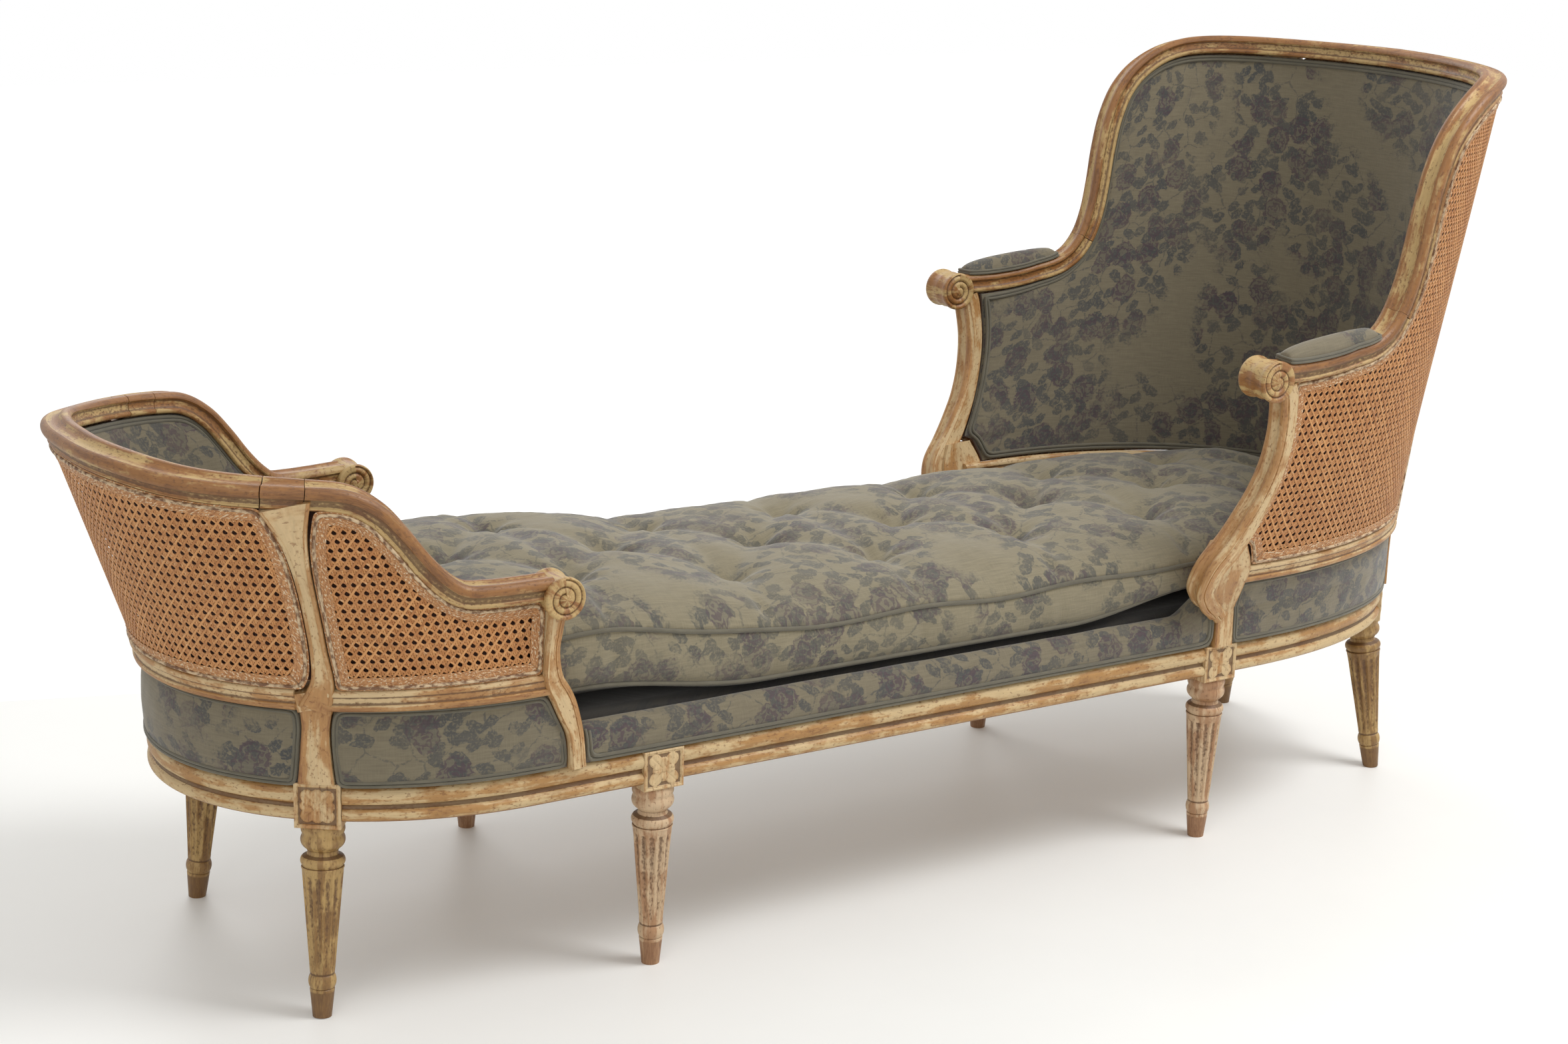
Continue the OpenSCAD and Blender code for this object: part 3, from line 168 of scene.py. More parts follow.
# Each end has one wall surface, whose plan is a superellipse that grows from the seat up
class Wall:
    def __init__(self, way, leg_x, top, low, high):
        self.way, self.leg_x, self.top, self.low, self.high = way, leg_x, top, low, high

    def plan(self, z):
        t = np.maximum(0, (z - LEAN_START) / (self.top - LEAN_START))
        rest = 1 - np.clip((z - FLARE_START) / (self.top - FLARE_START), 0, 1)
        flare = 1 - rest ** 4
        gain = self.high[2] - self.low[2]
        return (mix(self.low[0], self.high[0], t), mix(self.low[1], self.high[1], t),
                self.low[2] + gain * flare,
                mix(self.low[3], self.high[3], t) - CORNER_EASE * gain * (flare - t))

    def point(self, a, z):
        a, z = np.broadcast_arrays(np.asarray(a, float), np.asarray(z, float))
        spring, depth, half, square = self.plan(z)
        turn = np.radians(np.minimum(np.abs(a), 90))
        bend = spring + depth * np.maximum(np.cos(turn), 0) ** (2 / square)
        x = np.where(np.abs(a) < 90, bend, spring - (np.abs(a) - 90) * FRONT_STEP)
        y = half * np.sin(turn) ** (2 / square) * np.sign(a)
        return np.stack([self.leg_x + self.way * x, y, z], -1)

    def outward(self, a, z):
        a, z = np.broadcast_arrays(np.asarray(a, float), np.asarray(z, float))
        _, depth, half, square = self.plan(z)
        turn = np.radians(np.minimum(np.abs(a), 90))
        e = 2 * (square - 1) / square
        flat = unit(np.stack([self.way * np.maximum(np.cos(turn), 0) ** e / depth,
                              np.sign(a) * np.sin(turn) ** e / half, 0 * z], -1))
        rise = (self.point(a, z + 1) - self.point(a, z - 1)) / 2
        flat[..., 2] = -np.sum(flat * rise, -1)
        return unit(flat)

    def angle_of(self, x, z):
        """The near-side angle of what lies x beyond the middle leg."""
        spring, depth, _, square = self.plan(z)
        f = (x - spring) / depth
        if f <= 0:
            return -90 - (spring - x) / FRONT_STEP
        return -math.degrees(math.acos(min(f, 1) ** (square / 2)))

    def per_degree(self, a, z):
        return np.linalg.norm(self.point(a + 0.5, z) - self.point(a - 0.5, z), axis=-1)

    def station(self, x, z, half, spread):
        return [self.angle_of(x, z), z, half, spread]


FOOT = Wall(-1, FOOT_LEG_X, FOOT_TOP, FOOT_LOW, FOOT_HIGH)
HEAD = Wall(1, HEAD_LEG_X, HEAD_TOP, HEAD_LOW, HEAD_HIGH)

# Lines on a wall are rows of [angle, z, half width, spread]
STEPS = 8


def whole(half):
    return np.concatenate([half, half[-2::-1] * [-1, 1, 1, 1]])


foot_rise = FOOT_CREST_SIDE - FOOT_ARM_HEIGHT
foot_arm_knots = [
    FOOT.station(FOOT_SCROLL_X + x, FOOT_ARM_HEIGHT + z, 1, spread) for x, z, spread in (
        (10, 1, 12), (45, 0, 9), (82, 0, 6), (112, 3, 4), (135, foot_rise * 0.14, 2),
        (157, foot_rise * 0.32, 1), (181, foot_rise * 0.56, 0), (207, foot_rise * 0.78, 0),
        (240, foot_rise * 0.93, 0))]
FOOT_STILE_TOP = FOOT_POST_ANGLE + FOOT_STILE_DRIFT
FOOT_SEAM = 4
foot_line = whole(curve(foot_arm_knots + [
    [-FOOT_STILE_TOP - FOOT_SEAM, FOOT_CREST_SIDE - 3, 1, 0],
    [-FOOT_STILE_TOP + FOOT_SEAM, FOOT_CREST_SIDE, 1, 0],
    [-36, mix(FOOT_CREST_SIDE, FOOT_CREST_MID, 0.3), 1, 0],
    [-18, mix(FOOT_CREST_SIDE, FOOT_CREST_MID, 0.82), 1, 0],
    [0, FOOT_CREST_MID, 1, 0]], STEPS))
foot_arm_end = STEPS * len(foot_arm_knots)
foot_crest_start = foot_arm_end + STEPS

head_rise = HEAD_CREST_MID - HEAD_ARM_HEIGHT
head_arm_knots = [
    HEAD.station(x - HEAD_SCROLL_X, HEAD_ARM_HEIGHT + z, 1, spread) for x, z, spread in (
        (8, 2, 8), (26, 0, 8), (66, 0, 6), (116, 4, 4), (166, 12, 2), (207, 27, 1))]
head_crest_knots = [
    HEAD.station(x - HEAD_SCROLL_X, HEAD_ARM_HEIGHT + head_rise * part, 1, 0)
    for x, part in ((233, 0.16), (249, 0.27), (259, 0.40), (267, 0.54), (279, 0.68),
                    (299, 0.80), (330, 0.89), (372, 0.955), (424, 0.985))]
head_line = whole(curve(head_arm_knots + head_crest_knots + [
    [-24, HEAD_CREST_MID - 2, 1, 0], [0, HEAD_CREST_MID, 1, 0]], STEPS))
head_arm_end = STEPS * len(head_arm_knots)


def support_line(wall, knots):
    return curve([wall.station(*k) for k in knots], STEPS)


foot_support_line = support_line(FOOT, [
    (FOOT_SCROLL_X - 31, RAIL_TOP + GAP, 10, 0), (FOOT_SCROLL_X - 27, RAIL_TOP + 42, 10, 0),
    (FOOT_SCROLL_X - 15, RAIL_TOP + 76, 13, 0), (FOOT_SCROLL_X + 3, RAIL_TOP + 110, 12, 3),
    (FOOT_SCROLL_X + 8, RAIL_TOP + 145, 9, 6), (FOOT_SCROLL_X + 7, RAIL_TOP + 172, 9, 10),
    (FOOT_SCROLL_X + 4, FOOT_ARM_HEIGHT - 20, 11, 12)])
head_support_line = support_line(HEAD, [
    (-12, LOW_RAIL_HEIGHT - 66, 9, 1), (-27, LOW_RAIL_HEIGHT - 50, 11, 5),
    (-49, LOW_RAIL_HEIGHT - 32, 12, 9), (-65, LOW_RAIL_HEIGHT - 8, 12.5, 11),
    (-58, LOW_RAIL_HEIGHT + 20, 13.5, 11),
    (-36, LOW_RAIL_HEIGHT + 48, 14, 10), (-17, LOW_RAIL_HEIGHT + 79, 13, 8),
    (0, LOW_RAIL_HEIGHT + 114, 11.5, 7), (12, LOW_RAIL_HEIGHT + 154, 11, 7),
    (17, LOW_RAIL_HEIGHT + 199, 11.5, 7), (13, HEAD_ARM_HEIGHT - 33, 12.5, 8),
    (8, HEAD_ARM_HEIGHT - 18, 13, 8)])
HEAD_POST_HALF = 15
head_post_line = support_line(HEAD, [
    (-1, RAIL_TOP + GAP, HEAD_POST_HALF, 0), (-2, RAIL_TOP + 46, HEAD_POST_HALF, 0),
    (-9, LOW_RAIL_HEIGHT - 44, 20, 3), (-22, LOW_RAIL_HEIGHT - 18, 32, 6),
    (-26, LOW_RAIL_HEIGHT + 12, 33, 7), (-28, LOW_RAIL_HEIGHT + 44, 20, 6)])


def height_at(line, a):
    crest = line[np.abs(line[:, 0]) < 62]
    return float(np.interp(a, crest[:, 0], crest[:, 1]))


def stile_line(angle, drift, top, widths):
    t = np.linspace(0, 1, len(widths))
    knots = np.stack([-angle - drift * np.sqrt(t), mix(LEAN_START, top, t), widths, 0 * t], 1)
    return curve(knots, STEPS)


KNEE_HALF = 20
foot_stile_line = stile_line(
    FOOT_POST_ANGLE, FOOT_STILE_DRIFT,
    height_at(foot_line, -FOOT_STILE_TOP) - HALF_FACE + 4,
    [KNEE_HALF - 1, 13, 9.5, 9, 9, 10.5, 16, 28])
head_stile_line = stile_line(
    HEAD_POST_ANGLE, 0, height_at(head_line, -HEAD_POST_ANGLE) - HALF_FACE + 4,
    [KNEE_HALF - 1, 13, 10.5, 10, 10, 10, 10, 11, 15, 28])


def beside(wall, line, q, f=0):
    """A line moved sideways by q and by f times each station's half width."""
    ahead = np.concatenate([line[1:2] - line[:1], line[2:] - line[:-2], line[-1:] - line[-2:-1]])
    m = wall.per_degree(line[:, 0], line[:, 1])
    n = np.hypot(ahead[:, 0] * m, ahead[:, 1])
    r = q + f * line[:, 2]
    return np.stack([line[:, 0] - ahead[:, 1] * r / n / m,
                     line[:, 1] + ahead[:, 0] * m * r / n], 1)


# Sections are closed outlines of (outward, sideways, bulge) corners, where the bulge rounds
# the stretch up to the next corner: above 0 for a bead, below 0 for a hollow
def moulded(*corners, bead_steps=0):
    points = []
    for i, (p, q, bulge) in enumerate(corners):
        start = np.array([p, q], float)
        end = np.array(corners[(i + 1) % len(corners)][:2], float)
        chord = end - start
        length = np.linalg.norm(chord)
        turn = 4 * math.atan(2 * abs(bulge) / length)
        count = max(4, round(length / 1.3)) if bulge else max(1, round(length / 4))
        if bead_steps:
            count = bead_steps if bulge else 4
        t = np.arange(count) / count
        if bulge:
            radius = (length ** 2 / 4 + bulge ** 2) / (2 * abs(bulge))
            angle = (t - 0.5) * turn
            along = 0.5 + radius * np.sin(angle) / length
            out = radius * np.cos(angle) - radius + abs(bulge)
            normal = np.array([chord[1], -chord[0]]) / length * np.sign(bulge)
            points.append(start + chord * along[:, None] + normal * out[:, None])
        else:
            points.append(start + chord * t[:, None])
    return np.concatenate(points)


RIDGE_REACH = 3.0
RIDGE_FULL = 0.7


def ridge_of(section):
    """How far each point of a closed outline stands out from its surroundings, -1 to 1."""
    loop = ringed(section)
    s = travelled(loop)

    def at(distance):
        d = np.mod(distance, s[-1])
        return np.stack([np.interp(d, s, loop[:, k]) for k in (0, 1)], 1)

    before, after = at(s[:-1] - RIDGE_REACH), at(s[:-1] + RIDGE_REACH)
    ahead = unit(after - before)
    out = np.stack([ahead[:, 1], -ahead[:, 0]], 1)
    return np.clip(np.sum((section - (before + after) / 2) * out, 1) / RIDGE_FULL, -1, 1)


crest_section = moulded(
    (5, -13, 1.6), (10.5, -8.8, 0), (9.2, -8, -1.2), (9.4, 0.6, 0), (11.6, 1.2, 4.4),
    (3.5, 13, 0), (2.2, 11.8, -1.7), (-12.5, 11.6, 0), (-13.5, 12.6, 3.4), (-23.6, 5, 0),
    (-22, 4, -1.5), (-22, -7, 0), (-23.4, -7.6, 1.4), (-21.5, -13, 0))
low_section = moulded(
    (7, -12.5, 0), (9.5, -13, 2.6), (12.6, -4.5, 0), (10.8, -4, -0.8), (10.6, 6, 0),
    (11.8, 6.6, 1.6), (8.6, 12.8, 0), (-18, 13, 0), (-21, 12.6, 2), (-24.5, 4, 0),
    (-22.8, 3, -1), (-22.8, -8, 0), (-21, -13, 0))
rail_section = moulded(
    (-3, 0, 0), (-1.5, 1, 3.2), (-0.2, 13.6, 0), (-2.6, 14.8, -1.4), (-2.6, 20, 0),
    (-0.6, 21, 3.6), (-2, 38.6, 0), (-5, RAIL_HEIGHT, 0), (-RAIL_DEPTH, RAIL_HEIGHT, 0),
    (-RAIL_DEPTH, 0, 0))


def rubbed(section, *zones):
    """The ridge of a section, with its own value above 1 where hands rub the paint off. A
    zone is (outward from, outward to, sideways from, sideways to, value)."""
    ridge = ridge_of(section)
    p, q = section.T
    for p0, p1, q0, q1, value in zones:
        ridge = np.where((p > p0) & (p < p1) & (q > q0) & (q < q1), value, ridge)
    return ridge


crest_ridge = rubbed(crest_section, (3.2, 20, 1.0, 20, 1.55), (-26, -13, 4.6, 20, 1.45))
low_ridge = rubbed(low_section, (9.4, 14, -12.9, -5, 1.5))
rail_ridge = rubbed(rail_section, (-40, 4, -1, 2.4, 2.0), (-40, -4, 15, 42, 1.4))


def stile_section(h):
    return moulded(
        (9.5, -h, 1.2), (12.6, -h + 4.2, 0), (11.4, -h + 5, -0.9), (11.4, h - 5, 0),
        (12.6, h - 4.2, 1.2), (9.5, h, 0), (-TONGUE_IN, h, 0), (-TONGUE_IN, -h, 0),
        bead_steps=7)


def support_section(h):
    return moulded(
        (9, -h, 0), (12.5, -h + 2.5, 0), (12.5, h - 7.5, 0), (10.8, h - 6.8, 0),
        (11.8, h - 6, 3.4), (3.2, h, 0), (2.6, h - 1, -3.2), (-11, h - 1, 0),
        (-11.6, h, 3), (-21, h - 5.5, 0), (-22.5, h - 7, 0), (-22.5, -h + 2, 0),
        (-20.5, -h, 0), bead_steps=9)


def post_section(h):
    return moulded(
        (6, -h, 0), (7.6, -h + 1.6, 0), (7.6, h - 1.6, 0), (6, h, 0), (-23, h, 0), (-23, -h, 0),
        bead_steps=6)


def knee_section(h):
    return moulded((9, -h, 0), (9, h, 0), (-CREST_IN, h, 0), (-CREST_IN, -h, 0), bead_steps=6)


# Shapes gather parts of one piece, with the fields that its material reads: the lie is
# the distance along and across in metres with the part's own number, and the ridge tells
# beads from hollows. A mirror image lies elsewhere in its material's pattern
MIRROR_LIE = [0.31, 0.17, 5.3]
NUMBER_STEP = 0.37


class Shape:
    parts = 0

    def __init__(self):
        self.points, self.faces, self.lie, self.ridge = [], [], [], []
        self.count = 0

    def add(self, points, faces, lie, ridge=0.0, flip=False):
        points = np.asarray(points, float)
        faces = [np.asarray(f) for f in faces]
        if flip:
            faces = [f[..., ::-1] for f in faces]
        Shape.parts += 1
        number = np.full((len(points), 1), Shape.parts % 97 * NUMBER_STEP)
        self.points.append(points)
        self.faces += [f + self.count for f in faces]
        self.lie.append(np.concatenate([np.asarray(lie).reshape(-1, 2) * MM, number], 1))
        self.ridge.append(np.broadcast_to(ridge, len(points)))
        self.count += len(points)
        return self

    def closed(self, points, faces, lie, ridge=0.0):
        """Adds a closed part, with its faces turned outward."""
        return self.add(points, faces, lie, ridge, flip=volume(points, faces) < 0)

    def mirrored(self):
        other = Shape()
        other.points = [p * [1, -1, 1] for p in self.points]
        other.faces = [f[..., ::-1] for f in self.faces]
        other.lie = [v + MIRROR_LIE for v in self.lie]
        other.ridge, other.count = self.ridge, self.count
        return other


def volume(points, faces):
    total = 0.0
    for f in faces:
        rows = np.atleast_2d(f)
        for k in range(1, rows.shape[1] - 1):
            a, b, c = points[rows[:, 0]], points[rows[:, k]], points[rows[:, k + 1]]
            total += np.sum(a * np.cross(b, c)) / 6
    return total


def quads(rows, columns, wrap=False, wrap_rows=False):
    i = np.arange(rows if wrap_rows else rows - 1)[:, None]
    j = np.arange(columns if wrap else columns - 1)[None, :]
    k, n = (j + 1) % columns, (i + 1) % rows
    corners = np.broadcast_arrays(i * columns + j, i * columns + k, n * columns + k,
                                  n * columns + j)
    return np.stack(corners, -1).reshape(-1, 4)


def lofted(shape, rings, ridge=0.0, loop=False):
    """A closed part over rings of points, shaped (stations, points, 3)."""
    n, m = rings.shape[:2]
    faces = [quads(n, m, wrap=True, wrap_rows=loop)]
    if not loop:
        faces += [np.arange(m)[None, ::-1], (n - 1) * m + np.arange(m)[None]]
    along = travelled(rings[:, 0])
    across = travelled(rings[n // 2])
    lie = np.stack(np.meshgrid(along, across, indexing="ij"), -1)
    ridge = np.broadcast_to(ridge, (n, m)).reshape(-1)
    return shape.closed(rings.reshape(-1, 3), faces, lie, ridge)


def frames_on(wall, line):
    point = wall.point(line[:, 0], line[:, 1])
    out = wall.outward(line[:, 0], line[:, 1])
    side = unit(wall.way * np.cross(out, unit(np.gradient(point, axis=0))))
    return point + out * line[:, 3:4], out, side


# Ridge values of narrow uprights: how deep their hollows count, and what their edges get
SHALLOW = 0.45
EDGE_WEAR = 1.45


def run(shape, wall, line, section, ridge=None):
    """A moulding along a line on a wall. The section is an outline, or makes one from the
    half width at each station."""
    point, out, side = frames_on(wall, line)
    if callable(section):
        outlines = np.stack([section(h) for h in line[:, 2]])
        ridge = ridge_of(outlines[len(outlines) // 2])
        ridge = np.where(ridge < 0, ridge * SHALLOW, np.where(ridge > 0.8, EDGE_WEAR, ridge))
    else:
        outlines = np.broadcast_to(section, (len(line),) + section.shape)
        ridge = ridge_of(section) if ridge is None else ridge
    rings = (point[:, None] + out[:, None] * outlines[..., :1]
             + side[:, None] * outlines[..., 1:])
    return lofted(shape, rings, ridge)


def tube(shape, path, radius, loop=False, around=8, up=None):
    """A round cord along a path."""
    ahead = unit(np.gradient(path, axis=0))
    if loop:
        ahead = unit(np.roll(path, -1, 0) - np.roll(path, 1, 0))
    up = np.array([0.13, 0.21, 1.0]) if up is None else up
    side = unit(np.cross(ahead, up))
    top = np.cross(side, ahead)
    a = np.arange(around) * 2 * math.pi / around
    ring = side[:, None] * np.cos(a)[None, :, None] + top[:, None] * np.sin(a)[None, :, None]
    return lofted(shape, path[:, None] + ring * radius, loop=loop)


def piece(name, shape, finish, nodes=(), body="frame", sharp=40):
    """The shape as a Blender object that rides on its body and stands for its nodes."""
    mesh = bpy.data.meshes.new(name)
    points = np.concatenate(shape.points) * MM
    faces = [f for f in shape.faces if len(f)]
    sizes = np.concatenate([np.full(len(f), f.shape[1]) for f in faces])
    corners = np.concatenate([f.reshape(-1) for f in faces]).astype(np.int32)
    mesh.vertices.add(len(points))
    mesh.vertices.foreach_set("co", points.astype(np.float32).reshape(-1))
    mesh.loops.add(len(corners))
    mesh.loops.foreach_set("vertex_index", corners)
    mesh.polygons.add(len(sizes))
    starts = np.concatenate([[0], np.cumsum(sizes)[:-1]]).astype(np.int32)
    mesh.polygons.foreach_set("loop_start", starts)
    mesh.polygons.foreach_set("use_smooth", np.ones(len(sizes), bool))
    mesh.update(calc_edges=True)
    mesh.validate()
    lie = mesh.attributes.new("lie", "FLOAT_VECTOR", "POINT")
    lie.data.foreach_set("vector", np.concatenate(shape.lie).astype(np.float32).reshape(-1))
    ridge = mesh.attributes.new("ridge", "FLOAT", "POINT")
    ridge.data.foreach_set("value", np.concatenate(shape.ridge).astype(np.float32))
    mesh.set_sharp_from_angle(angle=math.radians(sharp))
    mesh.materials.append(finish)
    obj = bpy.data.objects.new(name, mesh)
    bpy.context.scene.collection.objects.link(obj)
    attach(obj, body)
    if nodes:
        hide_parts(*nodes)
    return obj


def pair(name, shape, finish, node=None, ending=""):
    """The near piece and its mirror image on the far side."""
    for side, made in (("near", shape), ("far", shape.mirrored())):
        nodes = [f"{node}_{side}"] if node else []
        obj = piece(f"{name}_{side}{ending}", made, finish, nodes)


def both_sides(name, shape, finish):
    """A pair of pieces that stand for the pair of nodes of that name."""
    pair(name, shape, finish, name, "_dressed")


# Shader building
def paint(r, g, b):
    """A colour as it looks on a screen, from 0 to 255."""
    return tuple((c / 255 / 12.92) if c / 255 <= 0.04045 else ((c / 255 + 0.055) / 1.055) ** 2.4
                 for c in (r, g, b))


class Nodes:
    def __init__(self, tree):
        self.tree = tree

    def feed(self, socket, value):
        if isinstance(value, bpy.types.NodeSocket):
            self.tree.links.new(value, socket)
        elif socket.type == "RGBA":
            socket.default_value = (*value, 1)
        else:
            socket.default_value = value

    def add(self, kind, inputs, out=0, **settings):
        node = self.tree.nodes.new("ShaderNode" + kind)
        for key, value in settings.items():
            setattr(node, key, value)
        for key, value in inputs.items():
            self.feed(node.inputs[key], value)
        return node.outputs[out]

    def calc(self, operation, a, b=0.0):
        return self.add("Math", {0: a, 1: b}, operation=operation)

    def total(self, *values):
        result = values[0]
        for value in values[1:]:
            result = self.calc("ADD", result, value)
        return result

    def times(self, *values):
        result = values[0]
        for value in values[1:]:
            result = self.calc("MULTIPLY", result, value)
        return result

    def step(self, value, low, high):
        """From 0 at low to 1 at high; low may lie above high."""
        if low < high:
            return self.add("MapRange", {0: value, 1: low, 2: high},
                            interpolation_type="SMOOTHSTEP")
        return self.add("MapRange", {0: value, 1: high, 2: low, 3: 1.0, 4: 0.0},
                        interpolation_type="SMOOTHSTEP")

    def blend(self, t, a, b, way="MIX"):
        return self.add("Mix", {0: t, 6: a, 7: b}, out=2, data_type="RGBA", blend_type=way)

    def scaled(self, place, x, y, z=1.0):
        return self.add("VectorMath", {0: place, 1: (x, y, z)}, operation="MULTIPLY")

    def turned(self, place, degrees):
        return self.add("VectorRotate", {"Vector": place, "Angle": math.radians(degrees)},
                        rotation_type="Z_AXIS")

    def noise(self, place, scale=1.0, detail=3.0, rough=0.55, out=0):
        return self.add("TexNoise", {"Vector": place, "Scale": scale, "Detail": detail,
                                     "Roughness": rough}, out=out)

    def streaks(self, place, x, y, z=1.0, detail=3.0, rough=0.55):
        """Noise with its own scale along each axis."""
        return self.noise(self.scaled(place, x, y, z), detail=detail, rough=rough)

    def ranged(self, value, low, high, to_low, to_high):
        return self.add("MapRange", {0: value, 1: low, 2: high, 3: to_low, 4: to_high})

    def shaded(self, colour, light):
        grey = self.add("CombineColor", {0: light, 1: light, 2: light})
        return self.blend(1.0, colour, grey, way="MULTIPLY")

    def spotted(self, colour, value, low, high, share, tint):
        """The colour with a share of a tint where the value goes from low to high."""
        return self.blend(self.times(self.step(value, low, high), share), colour, tint)

    def cells(self, place, scale):
        """The distance to the nearest cell centre, and that cell's random colour."""
        distance = self.add("TexVoronoi", {"Vector": place, "Scale": scale},
                            voronoi_dimensions="2D")
        return distance, distance.node.outputs["Color"]

    def field(self, name, out=0):
        return self.add("Attribute", {}, out=out, attribute_name=name)

    def lie(self):
        return self.field("lie", out=1)

    def ridge(self):
        return self.field("ridge", out=2)

    def place(self, tree, inputs):
        node = self.tree.nodes.new("ShaderNodeGroup")
        node.node_tree = tree
        for key, value in inputs.items():
            self.feed(node.inputs[key], value)
        return node.outputs


def shared(name, inputs, outputs, build):
    """A node group with named inputs and outputs. Colours are given as tuples."""
    tree = bpy.data.node_groups.new(name, "ShaderNodeTree")
    for title, value in inputs.items():
        kind = "Color" if isinstance(value, tuple) else "Float"
        socket = tree.interface.new_socket(title, in_out="INPUT", socket_type="NodeSocket" + kind)
        socket.default_value = (*value, 1) if isinstance(value, tuple) else value
    for title in outputs:
        kind = "Color" if title == "Color" else "Float"
        tree.interface.new_socket(title, in_out="OUTPUT", socket_type="NodeSocket" + kind)
    n = Nodes(tree)
    given = tree.nodes.new("NodeGroupInput").outputs
    results = build(n, given)
    end = tree.nodes.new("NodeGroupOutput")
    for title, value in zip(outputs, results):
        n.feed(end.inputs[title], value)
    return tree


def build_worn_paint(n, given):
    lie, ridge = n.lie(), n.ridge()
    streaks = n.streaks(lie, 9, 70, detail=5.0, rough=0.62)
    patches = n.streaks(lie, 26, 34, detail=4.0)
    grain = n.streaks(lie, 60, 900, detail=4.0, rough=0.65)
    specks = n.streaks(lie, 210, 330, detail=3.0)
    swept = n.step(ridge, 1.0, 2.0)
    # What adds to the wear; from 0.18 the paint rubs thin and from 0.42 the wood shows
    worn = n.total(n.times(swept, 0.36), n.times(streaks, 1.3), n.times(patches, 0.8),
                   n.times(specks, 0.22), n.times(given["Wear"], 0.6), -1.22)
    rubbed = n.step(worn, 0.18, 0.40)
    bare = n.times(n.step(worn, 0.42, 0.62), n.step(grain, 0.3, 0.62))
    grime = n.step(n.total(n.times(ridge, -1.0), n.times(specks, 0.9)), 0.95, 1.35)
    chips = n.step(specks, 0.60, 0.66)
    colour = n.blend(rubbed, given["Paint"], given["Tint"])
    colour = n.blend(n.times(chips, 0.5), colour, given["Wood"])
    colour = n.blend(n.times(bare, 0.85), colour, given["Wood"])
    colour = n.blend(n.times(grime, 0.78), colour, given["Grime"])
    colour = n.shaded(colour, n.ranged(n.total(grain, streaks), 0.6, 1.4, 0.80, 1.16))
    rough = n.ranged(n.total(rubbed, grain), 0.0, 1.8, 0.62, 0.42)
    height = n.total(n.times(grain, 0.45), n.times(chips, -0.6), n.times(bare, -0.3))
    return colour, rough, height


worn_paint_group = shared(
    "Worn paint", {"Paint": (0.6, 0.55, 0.4), "Tint": (0.4, 0.3, 0.15), "Wood": (0.2, 0.1, 0.05),
                   "Grime": (0.08, 0.06, 0.04), "Wear": 0.5},
    ("Color", "Roughness", "Height"), build_worn_paint)


def build_weave(n, given):
    lie = n.lie()
    warp = n.streaks(lie, 60, 1500, detail=2.0)
    weft = n.streaks(lie, 1500, 60, detail=2.0)
    slubs = n.streaks(lie, 34, 420, detail=3.0)
    threads = n.calc("MAXIMUM", warp, weft)
    light = n.ranged(n.total(threads, n.times(slubs, 0.8)), 0.7, 1.2, 0.82, 1.14)
    height = n.times(n.total(threads, n.times(slubs, 0.3)), given["Depth"])
    return light, height


weave_group = shared("Linen weave", {"Depth": 1.0}, ("Light", "Height"), build_weave)


def build_bunches(n, given):
    lie = n.lie()
    own = n.add("SeparateXYZ", {0: lie}, out=2)
    spot = n.add("VectorMath", {0: n.add("CombineXYZ", {0: own, 1: own}), 1: (0.83, 0.57, 0),
                                2: lie}, operation="MULTIPLY_ADD")
    drift = n.noise(spot, scale=80.0, detail=2.0, out=1)
    place = n.add("VectorMath", {0: drift, 1: (0.009, 0.009, 0.0), 2: spot},
                  operation="MULTIPLY_ADD")
    edge = n.noise(place, scale=260.0, detail=3.0)
    reach, _ = n.cells(n.scaled(place, 1, 0.75), 8.6)
    bunch = n.step(n.total(reach, n.times(edge, 0.30)), 0.88, 0.74)
    middle = n.step(n.total(reach, n.times(edge, 0.25)), 0.80, 0.66)
    rose_far, rose_pick = n.cells(place, 22.0)
    picked = n.step(n.add("SeparateColor", {0: rose_pick}), 0.34, 0.38)
    rose = n.times(n.step(n.total(rose_far, n.times(edge, 0.25)), 0.60, 0.54), picked, middle)
    petals = n.calc("SINE", n.total(n.times(rose_far, 30.0), n.times(
        n.noise(place, scale=130.0, detail=1.0), 16.0)))
    petals = n.step(petals, -0.2, 0.5)

    def leaves(degrees, scale, pick):
        far, chosen = n.cells(n.scaled(n.turned(place, degrees), 1, 1.75), scale)
        shape = n.step(n.total(far, n.times(edge, 0.2)), 0.49, 0.44)
        rib = n.step(n.noise(n.turned(n.scaled(place, 1, 1), degrees), scale=330.0, detail=2.0),
                     0.38, 0.52)
        there = n.step(n.add("SeparateColor", {0: chosen}, out=pick), 0.38, 0.42)
        return n.times(shape, there, n.total(n.times(rib, 0.6), 0.4))

    leaf = n.calc("MAXIMUM", leaves(38, 34.0, 0), leaves(-31, 29.0, 1))
    leaf = n.times(leaf, bunch)
    net = n.add("TexVoronoi", {"Vector": n.turned(place, 17), "Scale": 22.0},
                feature="DISTANCE_TO_EDGE", voronoi_dimensions="2D")
    stems = n.times(n.step(net, 0.035, 0.012), bunch, n.step(edge, 0.42, 0.5), 0.7)
    ink = n.calc("MAXIMUM", leaf, stems)
    fade = n.ranged(n.noise(spot, scale=16.0), 0.3, 0.7, 0.62, 1.0)
    colour = n.blend(n.times(ink, fade, given["Strength"]), given["Ground"], given["Leaf"])
    tone = n.blend(petals, given["Leaf"], given["Rose"])
    share = n.times(rose, fade, given["Strength"], n.total(n.times(petals, 0.5), 0.5))
    return (n.blend(share, colour, tone),)


bunches_group = shared(
    "Faded rose bunches", {"Ground": (0.15, 0.14, 0.1), "Rose": (0.08, 0.07, 0.08),
                           "Leaf": (0.08, 0.09, 0.09), "Strength": 0.85},
    ("Color",), build_bunches)


